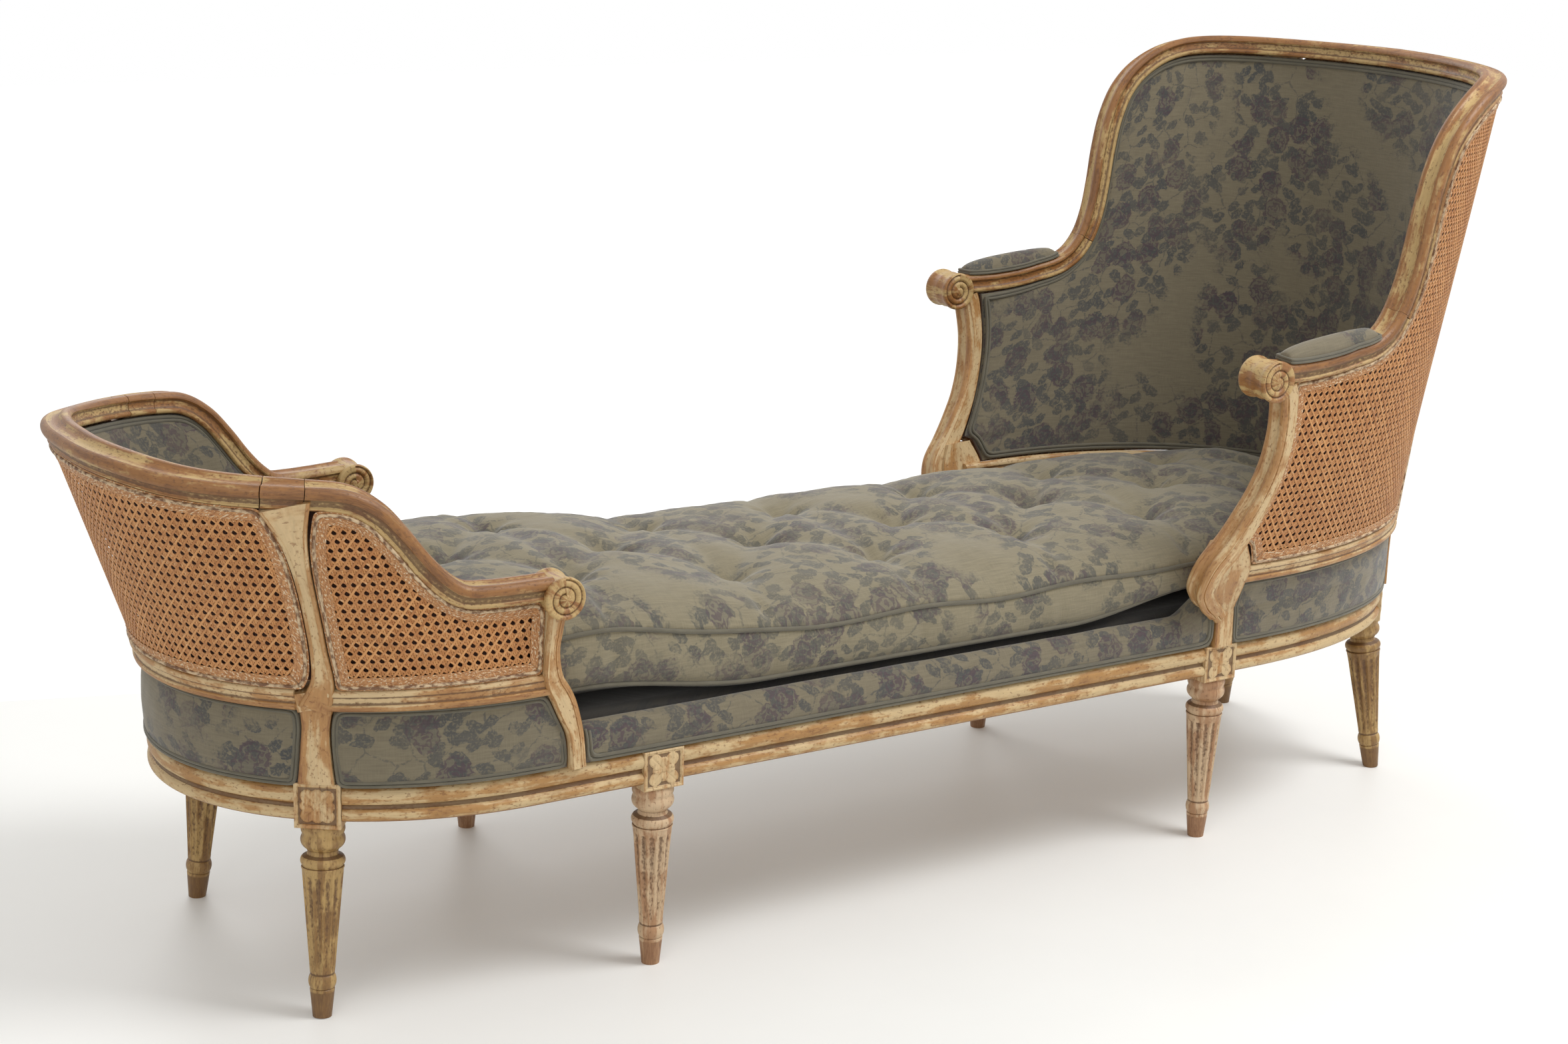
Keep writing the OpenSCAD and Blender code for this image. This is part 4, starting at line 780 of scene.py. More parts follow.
def build_grain(n, given):
    place = n.add("TexCoord", {}, out=3)
    fibres = n.streaks(place, 420, 16, 420, detail=4.0)
    rings = n.streaks(place, 40, 3, 60, detail=2.0)
    return n.shaded(given["Wood"], n.ranged(n.total(fibres, rings), 0.7, 1.3, 0.78, 1.12)), fibres


grain_group = shared("Beech grain", {"Wood": (0.4, 0.25, 0.13)}, ("Color", "Height"), build_grain)


def finish_of(name, build, rough=0.6, distance=0.0004, strength=0.6, **sockets):
    """A material whose colour, roughness and height come from build."""
    material = bpy.data.materials.new(name)
    material.use_nodes = True
    n = Nodes(material.node_tree)
    shader = material.node_tree.nodes["Principled BSDF"]
    colour, roughness, height = build(n)
    n.feed(shader.inputs["Base Color"], colour)
    n.feed(shader.inputs["Roughness"], rough if roughness is None else roughness)
    if height is not None:
        n.feed(shader.inputs["Normal"], n.add("Bump", {
            "Height": height, "Distance": distance, "Strength": strength}))
    for key, value in sockets.items():
        n.feed(shader.inputs[key.replace("_", " ")], value)
    return material


GRIME = (88, 58, 32)


def worn(name, ground, tint, wood, wear):
    def build(n):
        out = n.place(worn_paint_group, {
            "Paint": paint(*ground), "Tint": paint(*tint), "Wood": paint(*wood),
            "Grime": paint(*GRIME), "Wear": wear})
        return out["Color"], out["Roughness"], out["Height"]
    return finish_of(name, build, distance=0.0005, strength=0.7)


LINING = (92, 60, 48)


def printed(name, ground, rose, leaf, strength):
    def build(n):
        weave = n.place(weave_group, {"Depth": 1.0})
        cloth = n.place(bunches_group, {"Ground": paint(*ground), "Rose": paint(*rose),
                                        "Leaf": paint(*leaf), "Strength": strength})["Color"]
        cloth = n.shaded(cloth, weave["Light"])
        lining = n.step(n.ridge(), -0.4, -0.6)
        return n.blend(lining, cloth, paint(*LINING)), None, weave["Height"]
    return finish_of(name, build, rough=0.88, distance=0.0005, strength=0.55,
                     Sheen_Weight=0.25, Sheen_Roughness=0.5)


crest_wood = worn("rubbed crest wood", (188, 158, 106), (144, 98, 52), (102, 64, 33), 0.58)
pale_wood = worn("pale painted wood", (204, 177, 134), (170, 126, 76), (124, 78, 40), 0.56)
rail_wood = worn("painted seat rail", (200, 174, 130), (166, 124, 72), (116, 74, 38), 0.58)
gold_leg = worn("olive gold leg", (178, 146, 92), (136, 102, 56), (94, 62, 32), 0.60)
pink_leg = worn("pinkish worn leg", (200, 172, 138), (166, 126, 90), (120, 80, 50), 0.50)
linen = printed("printed upholstery linen", (115, 106, 86), (72, 58, 63), (64, 65, 65), 0.95)
bed_linen = printed("printed mattress linen", (130, 121, 98), (78, 66, 69), (74, 74, 70), 0.86)
# The platform's cloth is near black as painted shade: it stands for the deep shade in the gap
# between the mattress and the rolled edges
platform_cloth_darkened_as_shade = printed("platform linen darkened as painted shade", (46, 42, 36), (34, 30, 31), (32, 32, 30), 0.8)


def build_welt(n):
    weave = n.place(weave_group, {"Depth": 1.0})
    tone = n.noise(n.lie(), scale=45.0, detail=3.0)
    cloth = n.blend(tone, paint(80, 76, 64), paint(112, 106, 89))
    return cloth, None, weave["Height"]


welt_cloth = finish_of("welt linen", build_welt, rough=0.85, Sheen_Weight=0.25)


def build_cane(n):
    lie = n.lie()
    fibre = n.streaks(lie, 40, 1400, detail=3.0)
    tone = n.streaks(lie, 7, 7, 3, detail=2.0)
    dirt = n.streaks(lie, 160, 200, detail=3.0)
    colour = n.blend(n.step(tone, 0.35, 0.65), paint(170, 112, 60), paint(200, 144, 88))
    colour = n.spotted(colour, dirt, 0.56, 0.7, 0.55, paint(120, 74, 40))
    colour = n.spotted(colour, dirt, 0.40, 0.30, 0.5, paint(214, 180, 138))
    return colour, n.ranged(fibre, 0.0, 1.0, 0.34, 0.62), fibre


cane_fibre = finish_of("split cane", build_cane, distance=0.0002, strength=0.5)


def build_border(n):
    lie = n.lie()
    across = n.streaks(lie, 170, 420, detail=3.0)
    flecks = n.streaks(lie, 330, 330, detail=3.0)
    colour = n.blend(n.step(across, 0.35, 0.65), paint(158, 106, 62), paint(192, 140, 90))
    colour = n.spotted(colour, flecks, 0.56, 0.62, 0.75, paint(222, 206, 176))
    colour = n.spotted(colour, flecks, 0.42, 0.36, 0.6, paint(118, 78, 46))
    return colour, None, n.total(across, flecks)


cane_border = finish_of("close cane border", build_border, rough=0.6, distance=0.0012,
                        strength=0.9)


def build_bead(n):
    lie = n.lie()
    lumps = n.streaks(lie, 130, 200, detail=3.0)
    colour = n.blend(n.step(lumps, 0.38, 0.62), paint(108, 74, 48), paint(200, 176, 142))
    return colour, None, lumps


cane_bead = finish_of("worn cane bead", build_bead, rough=0.6, distance=0.001, strength=0.9)


def build_beech(n):
    out = n.place(grain_group, {"Wood": paint(176, 138, 98)})
    return out["Color"], None, out["Height"]


beech = finish_of("bare beech", build_beech, rough=0.65, distance=0.0002)


def build_jute(n):
    lie = n.lie()
    cord = n.streaks(lie, 60, 700, detail=2.0)
    cross_cord = n.streaks(lie, 500, 50, detail=2.0)
    weave = n.calc("MAXIMUM", cord, cross_cord)
    return n.blend(n.step(weave, 0.4, 0.75), paint(120, 92, 60), paint(182, 150, 106)), None, weave


jute = finish_of("jute webbing", build_jute, rough=0.9, distance=0.0008)


# Lines and panels on an unrolled wall, where sizes are true
JOINT_DRAW = 0.08


def stretch_of(line, first, last):
    """Stations first..last, drawn in a little at both ends so that a joint line shows."""
    part = line[first:last + 1].copy()
    part[0], part[-1] = mix(part[0], part[1], JOINT_DRAW), mix(part[-1], part[-2], JOINT_DRAW)
    return part


class Chart:
    def __init__(self, wall, z):
        self.wall = wall
        self.angles = np.linspace(-150, 150, 1801)
        s = travelled(wall.point(self.angles, z))
        self.s = s - np.interp(0, self.angles, s)

    def flat(self, rows):
        rows = np.asarray(rows, float)
        return np.stack([np.interp(rows[..., 0], self.angles, self.s), rows[..., 1]], -1)

    def place(self, flat, p):
        a, z = np.interp(flat[..., 0], self.s, self.angles), flat[..., 1]
        return self.wall.point(a, z) + self.wall.outward(a, z) * np.asarray(p)[..., None]


def level(a, b, z, n=60):
    return np.stack([np.linspace(a, b, n), np.full(n, z)], 1)


def upright(edge, low, high):
    z = np.linspace(low, high, 40)
    return np.stack([np.interp(z, edge[:, 1], edge[:, 0]), z], 1)


def opposite(edge):
    return edge * [-1, 1]


def under(wall, line, drop):
    """The underside of a crest, lowered by a little and by part of its spread."""
    return beside(wall, line[:, [0, 1, 3]], -HALF_FACE - drop, -0.3)


def up_to(edge, line):
    """An upright edge cut where it meets a line above it."""
    reach = np.interp(edge[:, 0], line[:, 0], line[:, 1])
    inside = edge[:, 1] < reach
    last = int(np.argmin(inside)) if not inside.all() else len(edge) - 1
    return upright(edge, edge[0, 1], float(reach[last]))


def top_between(line, a, b):
    inside = (line[:, 0] > a[0] + 0.4) & (line[:, 0] < b[0] - 0.4)
    return np.concatenate([[a], line[inside], [b]])


class Panel:
    def __init__(self, wall, low, high, start, stop):
        self.chart = Chart(wall, float(np.mean(start[:, 1])))
        self.low, self.high, self.start, self.stop = (
            self.chart.flat(e) for e in (low, high, start, stop))

    def grid(self, nu, nv):
        u = np.linspace(0, 1, nu)[:, None, None]
        v = np.linspace(0, 1, nv)[None, :, None]
        low, high = evenly(self.low, nu)[:, None], evenly(self.high, nu)[:, None]
        start, stop = evenly(self.start, nv)[None], evenly(self.stop, nv)[None]
        corners = mix(mix(low[:1], low[-1:], u), mix(high[:1], high[-1:], u), v)
        return mix(low, high, v) + mix(start, stop, u) - corners, u[..., 0], v[..., 0]

    def outline(self):
        loop = np.concatenate([self.low, self.stop[1:], self.high[-2::-1], self.start[-2:0:-1]])
        x, y = loop.T
        turn = np.sum(x * np.roll(y, -1) - y * np.roll(x, -1))
        return loop if turn > 0 else loop[::-1]


OUTLINE_STEP = 2.0


def even_loop(loop, count):
    """A closed outline with its points at even distances."""
    return evenly(ringed(loop), count + 1)[:-1]


def rounded(loop, radius):
    """A closed outline at even steps, with its corners rounded."""
    loop = even_loop(loop, max(24, round(travelled(ringed(loop))[-1] / OUTLINE_STEP)))
    for _ in range(round((radius / OUTLINE_STEP) ** 2)):
        loop = loop / 2 + (np.roll(loop, 1, 0) + np.roll(loop, -1, 0)) / 4
    return loop


def inset(loop, distance):
    ahead = unit(np.roll(loop, -3, 0) - np.roll(loop, 3, 0))
    return loop + np.stack([-ahead[:, 1], ahead[:, 0]], 1) * distance


def within(points, loop):
    """Which points lie inside a closed outline."""
    x, y = points[..., 0, None], points[..., 1, None]
    x0, y0 = loop.T
    x1, y1 = np.roll(loop, -1, 0).T
    crosses = (y0 > y) != (y1 > y)
    with np.errstate(divide="ignore", invalid="ignore"):
        at = x0 + (y - y0) * (x1 - x0) / (y1 - y0)
    return np.sum(crosses & (x < at), -1) % 2 == 1


def ripples(flat, size, seed):
    """Soft waves of about the given size, between -1 and 1."""
    x, y = flat[..., 0] / size, flat[..., 1] / size
    total = 0
    for k in range(5):
        a = seed * 1.7 + k * 2.4
        total = total + np.sin(x * (1 + 0.37 * k) * math.cos(a) * 6.3
                               + y * (1 + 0.29 * k) * math.sin(a) * 6.3 + seed + k * 1.9)
    return total / 5


LINING_APART = 500


def padding(panel, face, back, nu, nv, seed):
    """A padded panel. Its face and back are offsets from the wall; its lining is marked."""
    shape = Shape()
    grid, u, v = panel.grid(nu, nv)
    front = face(u, v) + np.sign(face(0.5, 0.5)) * 0.5 * ripples(grid, 60, seed)
    rings = np.concatenate([panel.chart.place(grid, front),
                            panel.chart.place(grid[:, ::-1], np.full((nu, nv), back))], 1)
    lining = np.where(np.arange(2 * nv) < nv, 0.0, -1.0)
    lofted(shape, rings, lining)
    flat = np.concatenate([grid, grid[:, ::-1] + [0, LINING_APART]], 1).reshape(-1, 2) * MM
    shape.lie[-1][:, :2] = flat
    return shape


def cord_on(shape, panel, loop, p, radius):
    path = panel.chart.place(loop, np.full(len(loop), p))
    return tube(shape, path, radius, loop=True,
                up=panel.chart.wall.outward(0, 500) + np.array([0.1, 0.2, 0.3]))


def double_welt(panel, p, radius=2.1, first=2.6, corner=9):
    shape = Shape()
    for k in range(2):
        loop = rounded(inset(rounded(panel.outline(), 3), first + 2 * radius * k), corner)
        cord_on(shape, panel, loop, p, radius)
    return shape


# Cane: strands in four directions, in layers, with a close border and a bead round them
CANE_PITCH = 10.2
CANE_WIDTH = 2.4
CANE_BACK = 6.2
STRAND_STEP = 9.0
TWINS = (-1.35, 1.35)
DIAGONAL = CANE_PITCH * math.sqrt(0.5)
# Degrees, layer, pitch, and how far each strand lies from its place
STRANDS = ((0, 0.0, CANE_PITCH, TWINS), (90, 0.5, CANE_PITCH, TWINS), (45, 1.0, DIAGONAL, (0,)),
           (-45, 1.5, DIAGONAL, (0,)))


def strands(shape, panel, loop):
    chart = panel.chart
    half = CANE_WIDTH / 2
    for degrees, layer, pitch, off in ((*row[:3], off) for row in STRANDS for off in row[3]):
        d = np.array([math.cos(math.radians(degrees)), math.sin(math.radians(degrees))])
        n = np.array([-d[1], d[0]])
        reach, along = loop @ n, loop @ d
        first = math.ceil((reach.min() - off) / pitch)
        shift = CANE_PITCH / 2 * n[0] if pitch == DIAGONAL else 0
        t = np.arange(along.min(), along.max(), STRAND_STEP)
        for k in range(first, math.floor((reach.max() - off) / pitch) + 1):
            line = n * (k * pitch + off + shift) + d * t[:, None]
            inside = np.flatnonzero(within(line, loop))
            for part in np.split(inside, np.flatnonzero(np.diff(inside) > 1) + 1):
                if len(part) < 2:
                    continue
                at = line[part]
                rings = np.stack([chart.place(at + n * x, np.full(len(at), CANE_BACK + layer + y))
                                  for x, y in ((-half, 0), (-half * 0.6, 0.5),
                                               (half * 0.6, 0.5), (half, 0))], 1)
                lofted(shape, rings)
    return shape


def cane_panel(name, panel, both):
    """Strands, border and bead in one opening, which stand for one node or a pair."""
    outer = rounded(panel.outline(), 7)
    woven = strands(Shape(), panel, rounded(inset(outer, 9), 8))
    count = 720
    rim = [even_loop(q, count) for q in (inset(outer, 0.5), rounded(inset(outer, 16), 10))]
    start = int(np.argmin(np.linalg.norm(rim[1] - rim[0][0], axis=1)))
    rim[1] = np.roll(rim[1], -start, 0)
    bumps = 0.25 * np.sin(np.arange(count) * 2 * math.pi / 6)
    border = Shape()
    rings = [panel.chart.place(rim[0], np.full(count, CANE_BACK + 2.6)),
             panel.chart.place(mix(rim[0], rim[1], 0.5), CANE_BACK + 3.0 + bumps),
             panel.chart.place(rim[1], CANE_BACK + 2.5 + bumps),
             panel.chart.place(rim[1], np.full(count, CANE_BACK + 1.9)),
             panel.chart.place(rim[0], np.full(count, CANE_BACK + 1.9))]
    lofted(border, np.stack(rings, 1), loop=True)
    bead = Shape()
    cord_on(bead, panel, rounded(inset(outer, 4.2), 6), CANE_BACK + 3.2, 2.1)
    made = (("weave", woven, cane_fibre), ("border", border, cane_border),
            ("bead", bead, cane_bead))
    for part, shape, finish in made:
        node = name if shape is woven else None
        if both:
            pair(f"{name}_{part}", shape, finish, node)
        else:
            piece(f"{name}_{part}", shape, finish, [node] if node else [])


# Rolled arm ends, carved with a spiral on both faces
def volute(shape, wall, x, z, radius, spread, beads):
    a = wall.angle_of(x, z)
    centre = wall.point(a, z) + wall.outward(a, z) * (CREST_OUT - CREST_DEPTH / 2 + spread)
    around, steps = 96, 26
    phi = np.arange(around) * 2 * math.pi / around
    half = SCROLL_WIDTH / 2
    rho = np.broadcast_to(np.linspace(0.03, 1, steps)[:, None], (steps, around))
    turn = phi / (2 * math.pi)
    depth = np.zeros_like(rho)
    for lap in range(2):
        groove = 0.9 - 0.33 * (turn + lap)
        depth = depth - 2.8 * np.exp(-((rho - groove) * radius / 1.7) ** 2)
    depth = depth - 1.4 * smooth((rho - 0.93) / 0.07) ** 2 + 1.4 * smooth((0.22 - rho) / 0.06)
    face_ridge = np.clip(depth * 0.45 + 0.25, -1, 1)
    rim = np.repeat(np.linspace(-half + 0.4, half - 0.4, 17)[1:-1, None], around, 1)
    edge = np.abs(rim) / half
    lift = -2.2 * (1 - smooth((edge - 0.55) / 0.2)) + 1.2 * beads * np.exp(-(edge / 0.16) ** 2)
    face = rho * (radius - 0.6)
    radial = np.concatenate([face, radius + lift, face[::-1]])
    across = np.concatenate([-half - depth, rim, (half + depth)[::-1]])
    ridge = np.concatenate([face_ridge, np.where(lift > -0.6, 0.6, -0.15), face_ridge[::-1]])
    forward = np.array([-wall.way, 0, 0])
    rings = (centre + radial[..., None] * (np.cos(phi)[None, :, None] * np.array([0, 0, 1])
                                           + np.sin(phi)[None, :, None] * forward)
             + across[..., None] * np.array([0, 1, 0]))
    return lofted(shape, rings, ridge)


def open_profile(*corners):
    """A moulded line that ends at its last corner."""
    points = moulded(*corners)
    first, last = np.array(corners[0][:2]), np.array(corners[-1][:2])
    return points[:len(points) - max(1, round(np.linalg.norm(first - last) / 4)) + 1]


leg_profile = open_profile(
    (0.5, 0, 0), (10.8, 0, 0), (14.2, 33, 0), (13.2, 34.2, 0), (14.3, 35.5, 1.6), (14.3, 49.5, 0),
    (13.4, 50.5, 0), (14, 52, 0), (23.6, 175, 1.2), (22.8, 178, 0), (23, 179, 2.4),
    (23, 189.5, 0), (18.2, 191.5, -1), (18.2, 197, 0), (19.5, 199, 3.5), (23.6, 214.5, 0),
    (23.4, 216, 1.6), (23.4, 227, 0), (22, 229, 0), (0.5, 229, 0))


# Heights on a leg: its shaft, its flutes, and the narrow grooves with their half heights
SHAFT = (52, 175)
FLUTE = (58, 169)
GROOVES = ((34.2, 0.9), (51, 1.2), (178, 1), (190.5, 1.2), (197.6, 1))
BARE_FOOT = 33


def spun(x, y, px, py, spin):
    """Points turned about the upright axis and moved to x, y."""
    c, s = math.cos(spin), math.sin(spin)
    return x + px * c - py * s, y + px * s + py * c


def leg_onto(shape, x, y, spin, splay):
    """A turned leg with flutes, its top at the block over x, y."""
    around = 144
    phi = np.arange(around) * 2 * math.pi / around
    r = np.repeat(leg_profile[:, :1], around, 1)
    z = np.repeat(leg_profile[:, 1:], around, 1)
    gap = 2 * math.pi / FLUTES
    off = np.abs(np.mod(phi + gap / 2, gap) - gap / 2)[None] * r
    wide = mix(2.6, 4.5, (z - SHAFT[0]) / (SHAFT[1] - SHAFT[0]))
    end = np.minimum(z - FLUTE[0], FLUTE[1] - z)
    reach = np.sqrt(np.clip(wide ** 2 - np.maximum(wide - end, 0) ** 2, 0, None))
    inside = (end > 0) & (off < reach)
    cut = np.where(inside, 0.62 * reach * np.sqrt(np.clip(
        1 - (off / np.maximum(reach, 0.01)) ** 2, 0, 1)), 0)
    on_shaft = (z > SHAFT[0] + 2) & (z < SHAFT[1] - 3)
    r = r - cut
    ridge = np.where(on_shaft, np.where(inside, -0.25 - cut * 0.22, 0.55), 0.3)
    for height, half in GROOVES:
        ridge = np.where(np.abs(z - height) < half, -1.0, ridge)
    ridge = np.where(z < BARE_FOOT, 2.0, ridge)
    s, c = math.sin(math.radians(splay)), math.cos(math.radians(splay))
    down = (z - LEG_TOP) / c
    px, py, pz = r * np.cos(phi), r * np.sin(phi), down
    px, pz = px * c - pz * s, px * s + pz * c
    points = np.stack([*spun(x, y, px, py, spin), np.maximum(pz + LEG_TOP, 0.0)], -1)
    return lofted(shape, points, ridge)


def block_onto(shape, x, y, spin, top, petals):
    """A square block with a carved square on its front. A petal is (turn, length, height)."""
    n = 72
    half = BLOCK_WIDTH / 2
    across, tall = np.linspace(-1, 1, n), np.linspace(0, 1, n)
    height = top - LEG_TOP
    v = (tall * height - height / 2) / half
    uu, vv = np.meshgrid(across, v)
    high = height / 2 / half
    edge = np.minimum(1 - np.abs(uu), high - np.abs(vv)) * half
    relief = -1.8 * smooth((edge - 4.2) / 1.2) - 1.2 * np.exp(-((edge - 3.6) / 0.8) ** 2)
    r = np.hypot(uu, vv)
    turn = np.arctan2(vv, uu)
    carved = 0
    for offset, size, lift in petals:
        lobe = size * np.abs(np.cos(2 * (turn - offset))) ** 0.55
        vein = 1 - 0.45 * np.exp(-(np.sin(2 * (turn - offset)) / 0.12) ** 2)
        carved = np.maximum(carved, lift * smooth((lobe - r) / 0.12) * vein
                            * (0.55 + 0.45 * smooth(r / 0.4)))
    carved = np.maximum(carved, 2.4 * smooth((0.16 - r) / 0.06))
    relief = relief + carved
    relief = np.where(edge < 1.2, relief - 0.8 * (1 - edge / 1.2), relief)
    front = np.stack([half + relief, uu * half], -1)
    back = np.broadcast_to([[-half, half], [-half, -half]], (n, 2, 2))
    flat = np.concatenate([front, back], 1)
    z = np.broadcast_to((LEG_TOP + tall * height)[:, None], flat.shape[:2])
    points = np.stack([*spun(x, y, flat[..., 0], flat[..., 1], spin), z], -1)
    ridge = np.clip(relief * 0.8 + 0.25, -1.3, 1)
    return lofted(shape, points, np.concatenate([ridge, np.full((n, 2), 0.3)], 1))


ROSETTE = ((0, 0.62, 2.4), (math.pi / 4, 0.98, 1.5))
LEAFY = ((math.pi / 4, 0.95, 2.6), (0, 0.8, 2.2), (math.pi / 8, 0.62, 1.6),
         (-math.pi / 8, 0.62, 1.6))


def leg_of(name, x, y, spin, splay, finish, top, petals):
    both_sides(name, leg_onto(Shape(), x, y, spin, splay), finish)
    pair(f"{name}_block", block_onto(Shape(), x, y, spin, top, petals), pale_wood)


def end_leg(name, wall, angle, splay):
    n = wall.outward(-angle, RAIL_BOTTOM)
    centre = wall.point(-angle, RAIL_BOTTOM) + n * (BLOCK_PROUD - BLOCK_WIDTH / 2)
    leg_of(name, centre[0], centre[1], math.atan2(n[1], n[0]), splay, gold_leg,
           BLOCK_TOP - 0.4, LEAFY)


def middle_leg(name, x):
    leg_of(name, x, -MIDDLE_LEG_Y, -math.pi / 2, 0, pink_leg, RAIL_TOP, ROSETTE)


end_leg("foot_leg", FOOT, FOOT_POST_ANGLE, FOOT_SPLAY)
end_leg("head_leg", HEAD, HEAD_POST_ANGLE, HEAD_SPLAY)
middle_leg("foot_middle_leg", FOOT_LEG_X)
middle_leg("head_middle_leg", HEAD_LEG_X)


# Seat rails
BESIDE_BLOCK = BLOCK_WIDTH / 2 + GAP


def straight_rail(x0, x1):
    x = np.linspace(x0, x1, 90)[:, None]
    rings = np.stack(np.broadcast_arrays(x, -SEAT_HALF - rail_section[:, 0],
                                         RAIL_BOTTOM + rail_section[:, 1]), -1)
    return lofted(Shape(), rings, rail_ridge)


def level_run(wall, a, b, z, section, ridge, stations):
    """A moulding at one height, between two angles of a wall."""
    line = np.stack([np.linspace(a, b, stations), np.full(stations, float(z)),
                     np.ones(stations), np.zeros(stations)], 1)
    return run(Shape(), wall, line, section, ridge)


def rail_between(wall, a, b):
    return level_run(wall, a, b, RAIL_BOTTOM, rail_section, rail_ridge, 90)


def block_side(wall, angle, side):
    return -angle + side * BESIDE_BLOCK / float(wall.per_degree(-angle, RAIL_BOTTOM))


both_sides("side_rail", straight_rail(FOOT_LEG_X + BESIDE_BLOCK, HEAD_LEG_X - BESIDE_BLOCK),
           rail_wood)
ENDS = (("foot", FOOT, FOOT_POST_ANGLE, foot_support_line),
        ("head", HEAD, HEAD_POST_ANGLE, head_post_line))
for name, wall, angle, _ in ENDS:
    front = wall.angle_of(BESIDE_BLOCK, RAIL_BOTTOM)
    both_sides(f"{name}_side_rail", rail_between(wall, front, block_side(wall, angle, -1)),
               rail_wood)
    a = block_side(wall, angle, 1)
    piece(f"{name}_end_rail_dressed", rail_between(wall, a, -a), rail_wood,
          [f"{name}_end_rail"])


# Crest rails and arms
def crest_run(wall, line, first, last):
    return run(Shape(), wall, stretch_of(line, first, last), crest_section, crest_ridge)


def crest_of(name, wall, line, first):
    piece(f"{name}_crest_dressed", crest_run(wall, line, first, len(line) - 1 - first),
          crest_wood, [f"{name}_crest_rail"])


def arm_of(name, wall, line, end, *scroll):
    shape = crest_run(wall, line, 0, end)
    volute(shape, wall, *scroll)
    both_sides(f"{name}_arm", shape, crest_wood)


crest_of("foot", FOOT, foot_line, foot_crest_start)
crest_of("head", HEAD, head_line, head_arm_end)
arm_of("foot", FOOT, foot_line, foot_arm_end, FOOT_SCROLL_X, FOOT_ARM_HEIGHT - 10,
       FOOT_SCROLL_RADIUS, 12, 0)
arm_of("head", HEAD, head_line, head_arm_end, -HEAD_SCROLL_X, HEAD_ARM_HEIGHT - 8,
       HEAD_SCROLL_RADIUS, 8, 1)

# Arm supports
foot_support = run(Shape(), FOOT, foot_support_line, support_section)
both_sides("foot_arm_support", foot_support, pale_wood)
head_support = run(Shape(), HEAD, head_support_line, support_section)
run(head_support, HEAD, head_post_line, post_section)
both_sides("head_arm_support", head_support, pale_wood)


# Stiles with their posts and knees
def post_line(angle):
    return curve([[-angle, BLOCK_TOP + 0.4, 20.5, 0], [-angle, BLOCK_TOP + 30, 17.5, 0],
                  [-angle, BLOCK_TOP + 62, 15.5, 0], [-angle, LEAN_START - 10, 17, 0],
                  [-angle, LEAN_START - 0.5, 19.5, 0]], STEPS)


def stile_onto(wall, angle, line):
    shape = run(Shape(), wall, post_line(angle), post_section)
    knee = np.array([[-angle, z, KNEE_HALF, 0.0]
                     for z in np.linspace(LEAN_START + 0.6, LOW_RAIL_HEIGHT + HALF_FACE - 3, 6)])
    run(shape, wall, knee, knee_section)
    return run(shape, wall, line, stile_section)


foot_stile = stile_onto(FOOT, FOOT_POST_ANGLE, foot_stile_line)
both_sides("foot_stile", foot_stile, pale_wood)
pair("foot_crest_joint", crest_run(FOOT, foot_line, foot_arm_end, foot_crest_start), crest_wood)
both_sides("head_stile", stile_onto(HEAD, HEAD_POST_ANGLE, head_stile_line), pale_wood)


# Lower cane rails
def low_rail(wall, a, b):
    return level_run(wall, a, b, LOW_RAIL_HEIGHT, low_section, low_ridge, 80)


def at_knee(wall, angle, side):
    return -angle + side * (KNEE_HALF - 2) / float(wall.per_degree(-angle, LOW_RAIL_HEIGHT))


for name, wall, angle, line in ENDS:
    a = at_knee(wall, angle, 1)
    piece(f"{name}_low_rail_end_dressed", low_rail(wall, a, -a), pale_wood,
          [f"{name}_low_rail_end"])
    front = float(np.interp(LOW_RAIL_HEIGHT, line[:, 1], line[:, 0]))
    both_sides(f"{name}_low_rail", low_rail(wall, front, at_knee(wall, angle, -1)), pale_wood)

# Cane and padding of the two ends
PANEL_LOW = LOW_RAIL_HEIGHT + HALF_FACE - 0.5
CANE_DROP = -1
ABOVE_ALL = 1100


def stile_side(wall, line, side):
    return beside(wall, line, 0.5 * side, side)


def side_panel(wall, line, support, stile, high):
    top = under(wall, line, CANE_DROP)
    start = upright(beside(wall, support, 0.5, -1), PANEL_LOW, high)
    stop = up_to(upright(stile_side(wall, stile, 1), PANEL_LOW, ABOVE_ALL), top)
    return Panel(wall, level(start[0, 0], stop[0, 0], PANEL_LOW),
                 top_between(top, start[-1], stop[-1]), start, stop)


def mirrored_panel(wall, top, start, low, n=60):
    """A panel from an edge on the near side to its mirror image."""
    stop = opposite(start)
    return Panel(wall, level(start[0, 0], stop[0, 0], low, n),
                 top_between(top, start[-1], stop[-1]), start, stop)


def end_panel(wall, line, stile):
    top = under(wall, line, CANE_DROP)
    start = up_to(upright(stile_side(wall, stile, -1), PANEL_LOW, ABOVE_ALL), top)
    return mirrored_panel(wall, top, start, PANEL_LOW)


def pad_panel(wall, line, support, high):
    start = upright(beside(wall, support, -2.5, -1), PANEL_LOW + 2, high)
    return mirrored_panel(wall, under(wall, line, 2), start, PANEL_LOW + 2, 160)


head_front_edge = np.concatenate([
    head_post_line[head_post_line[:, 1] < LOW_RAIL_HEIGHT + 30],
    head_support_line[head_support_line[:, 1] > LOW_RAIL_HEIGHT + 42]])
foot_high = FOOT_ARM_HEIGHT - HALF_FACE - 12
head_high = HEAD_ARM_HEIGHT - HALF_FACE - 4
cane_panel("foot_cane_end", end_panel(FOOT, foot_line, foot_stile_line), False)
cane_panel("foot_cane", side_panel(FOOT, foot_line, foot_support_line, foot_stile_line,
                                   foot_high), True)
cane_panel("head_cane_back", end_panel(HEAD, head_line, head_stile_line), False)
cane_panel("head_cane", side_panel(HEAD, head_line, head_front_edge, head_stile_line,
                                   head_high), True)


def swell(t):
    return np.clip(1 - np.abs(2 * t - 1) ** 3, 0, 1) ** 0.5


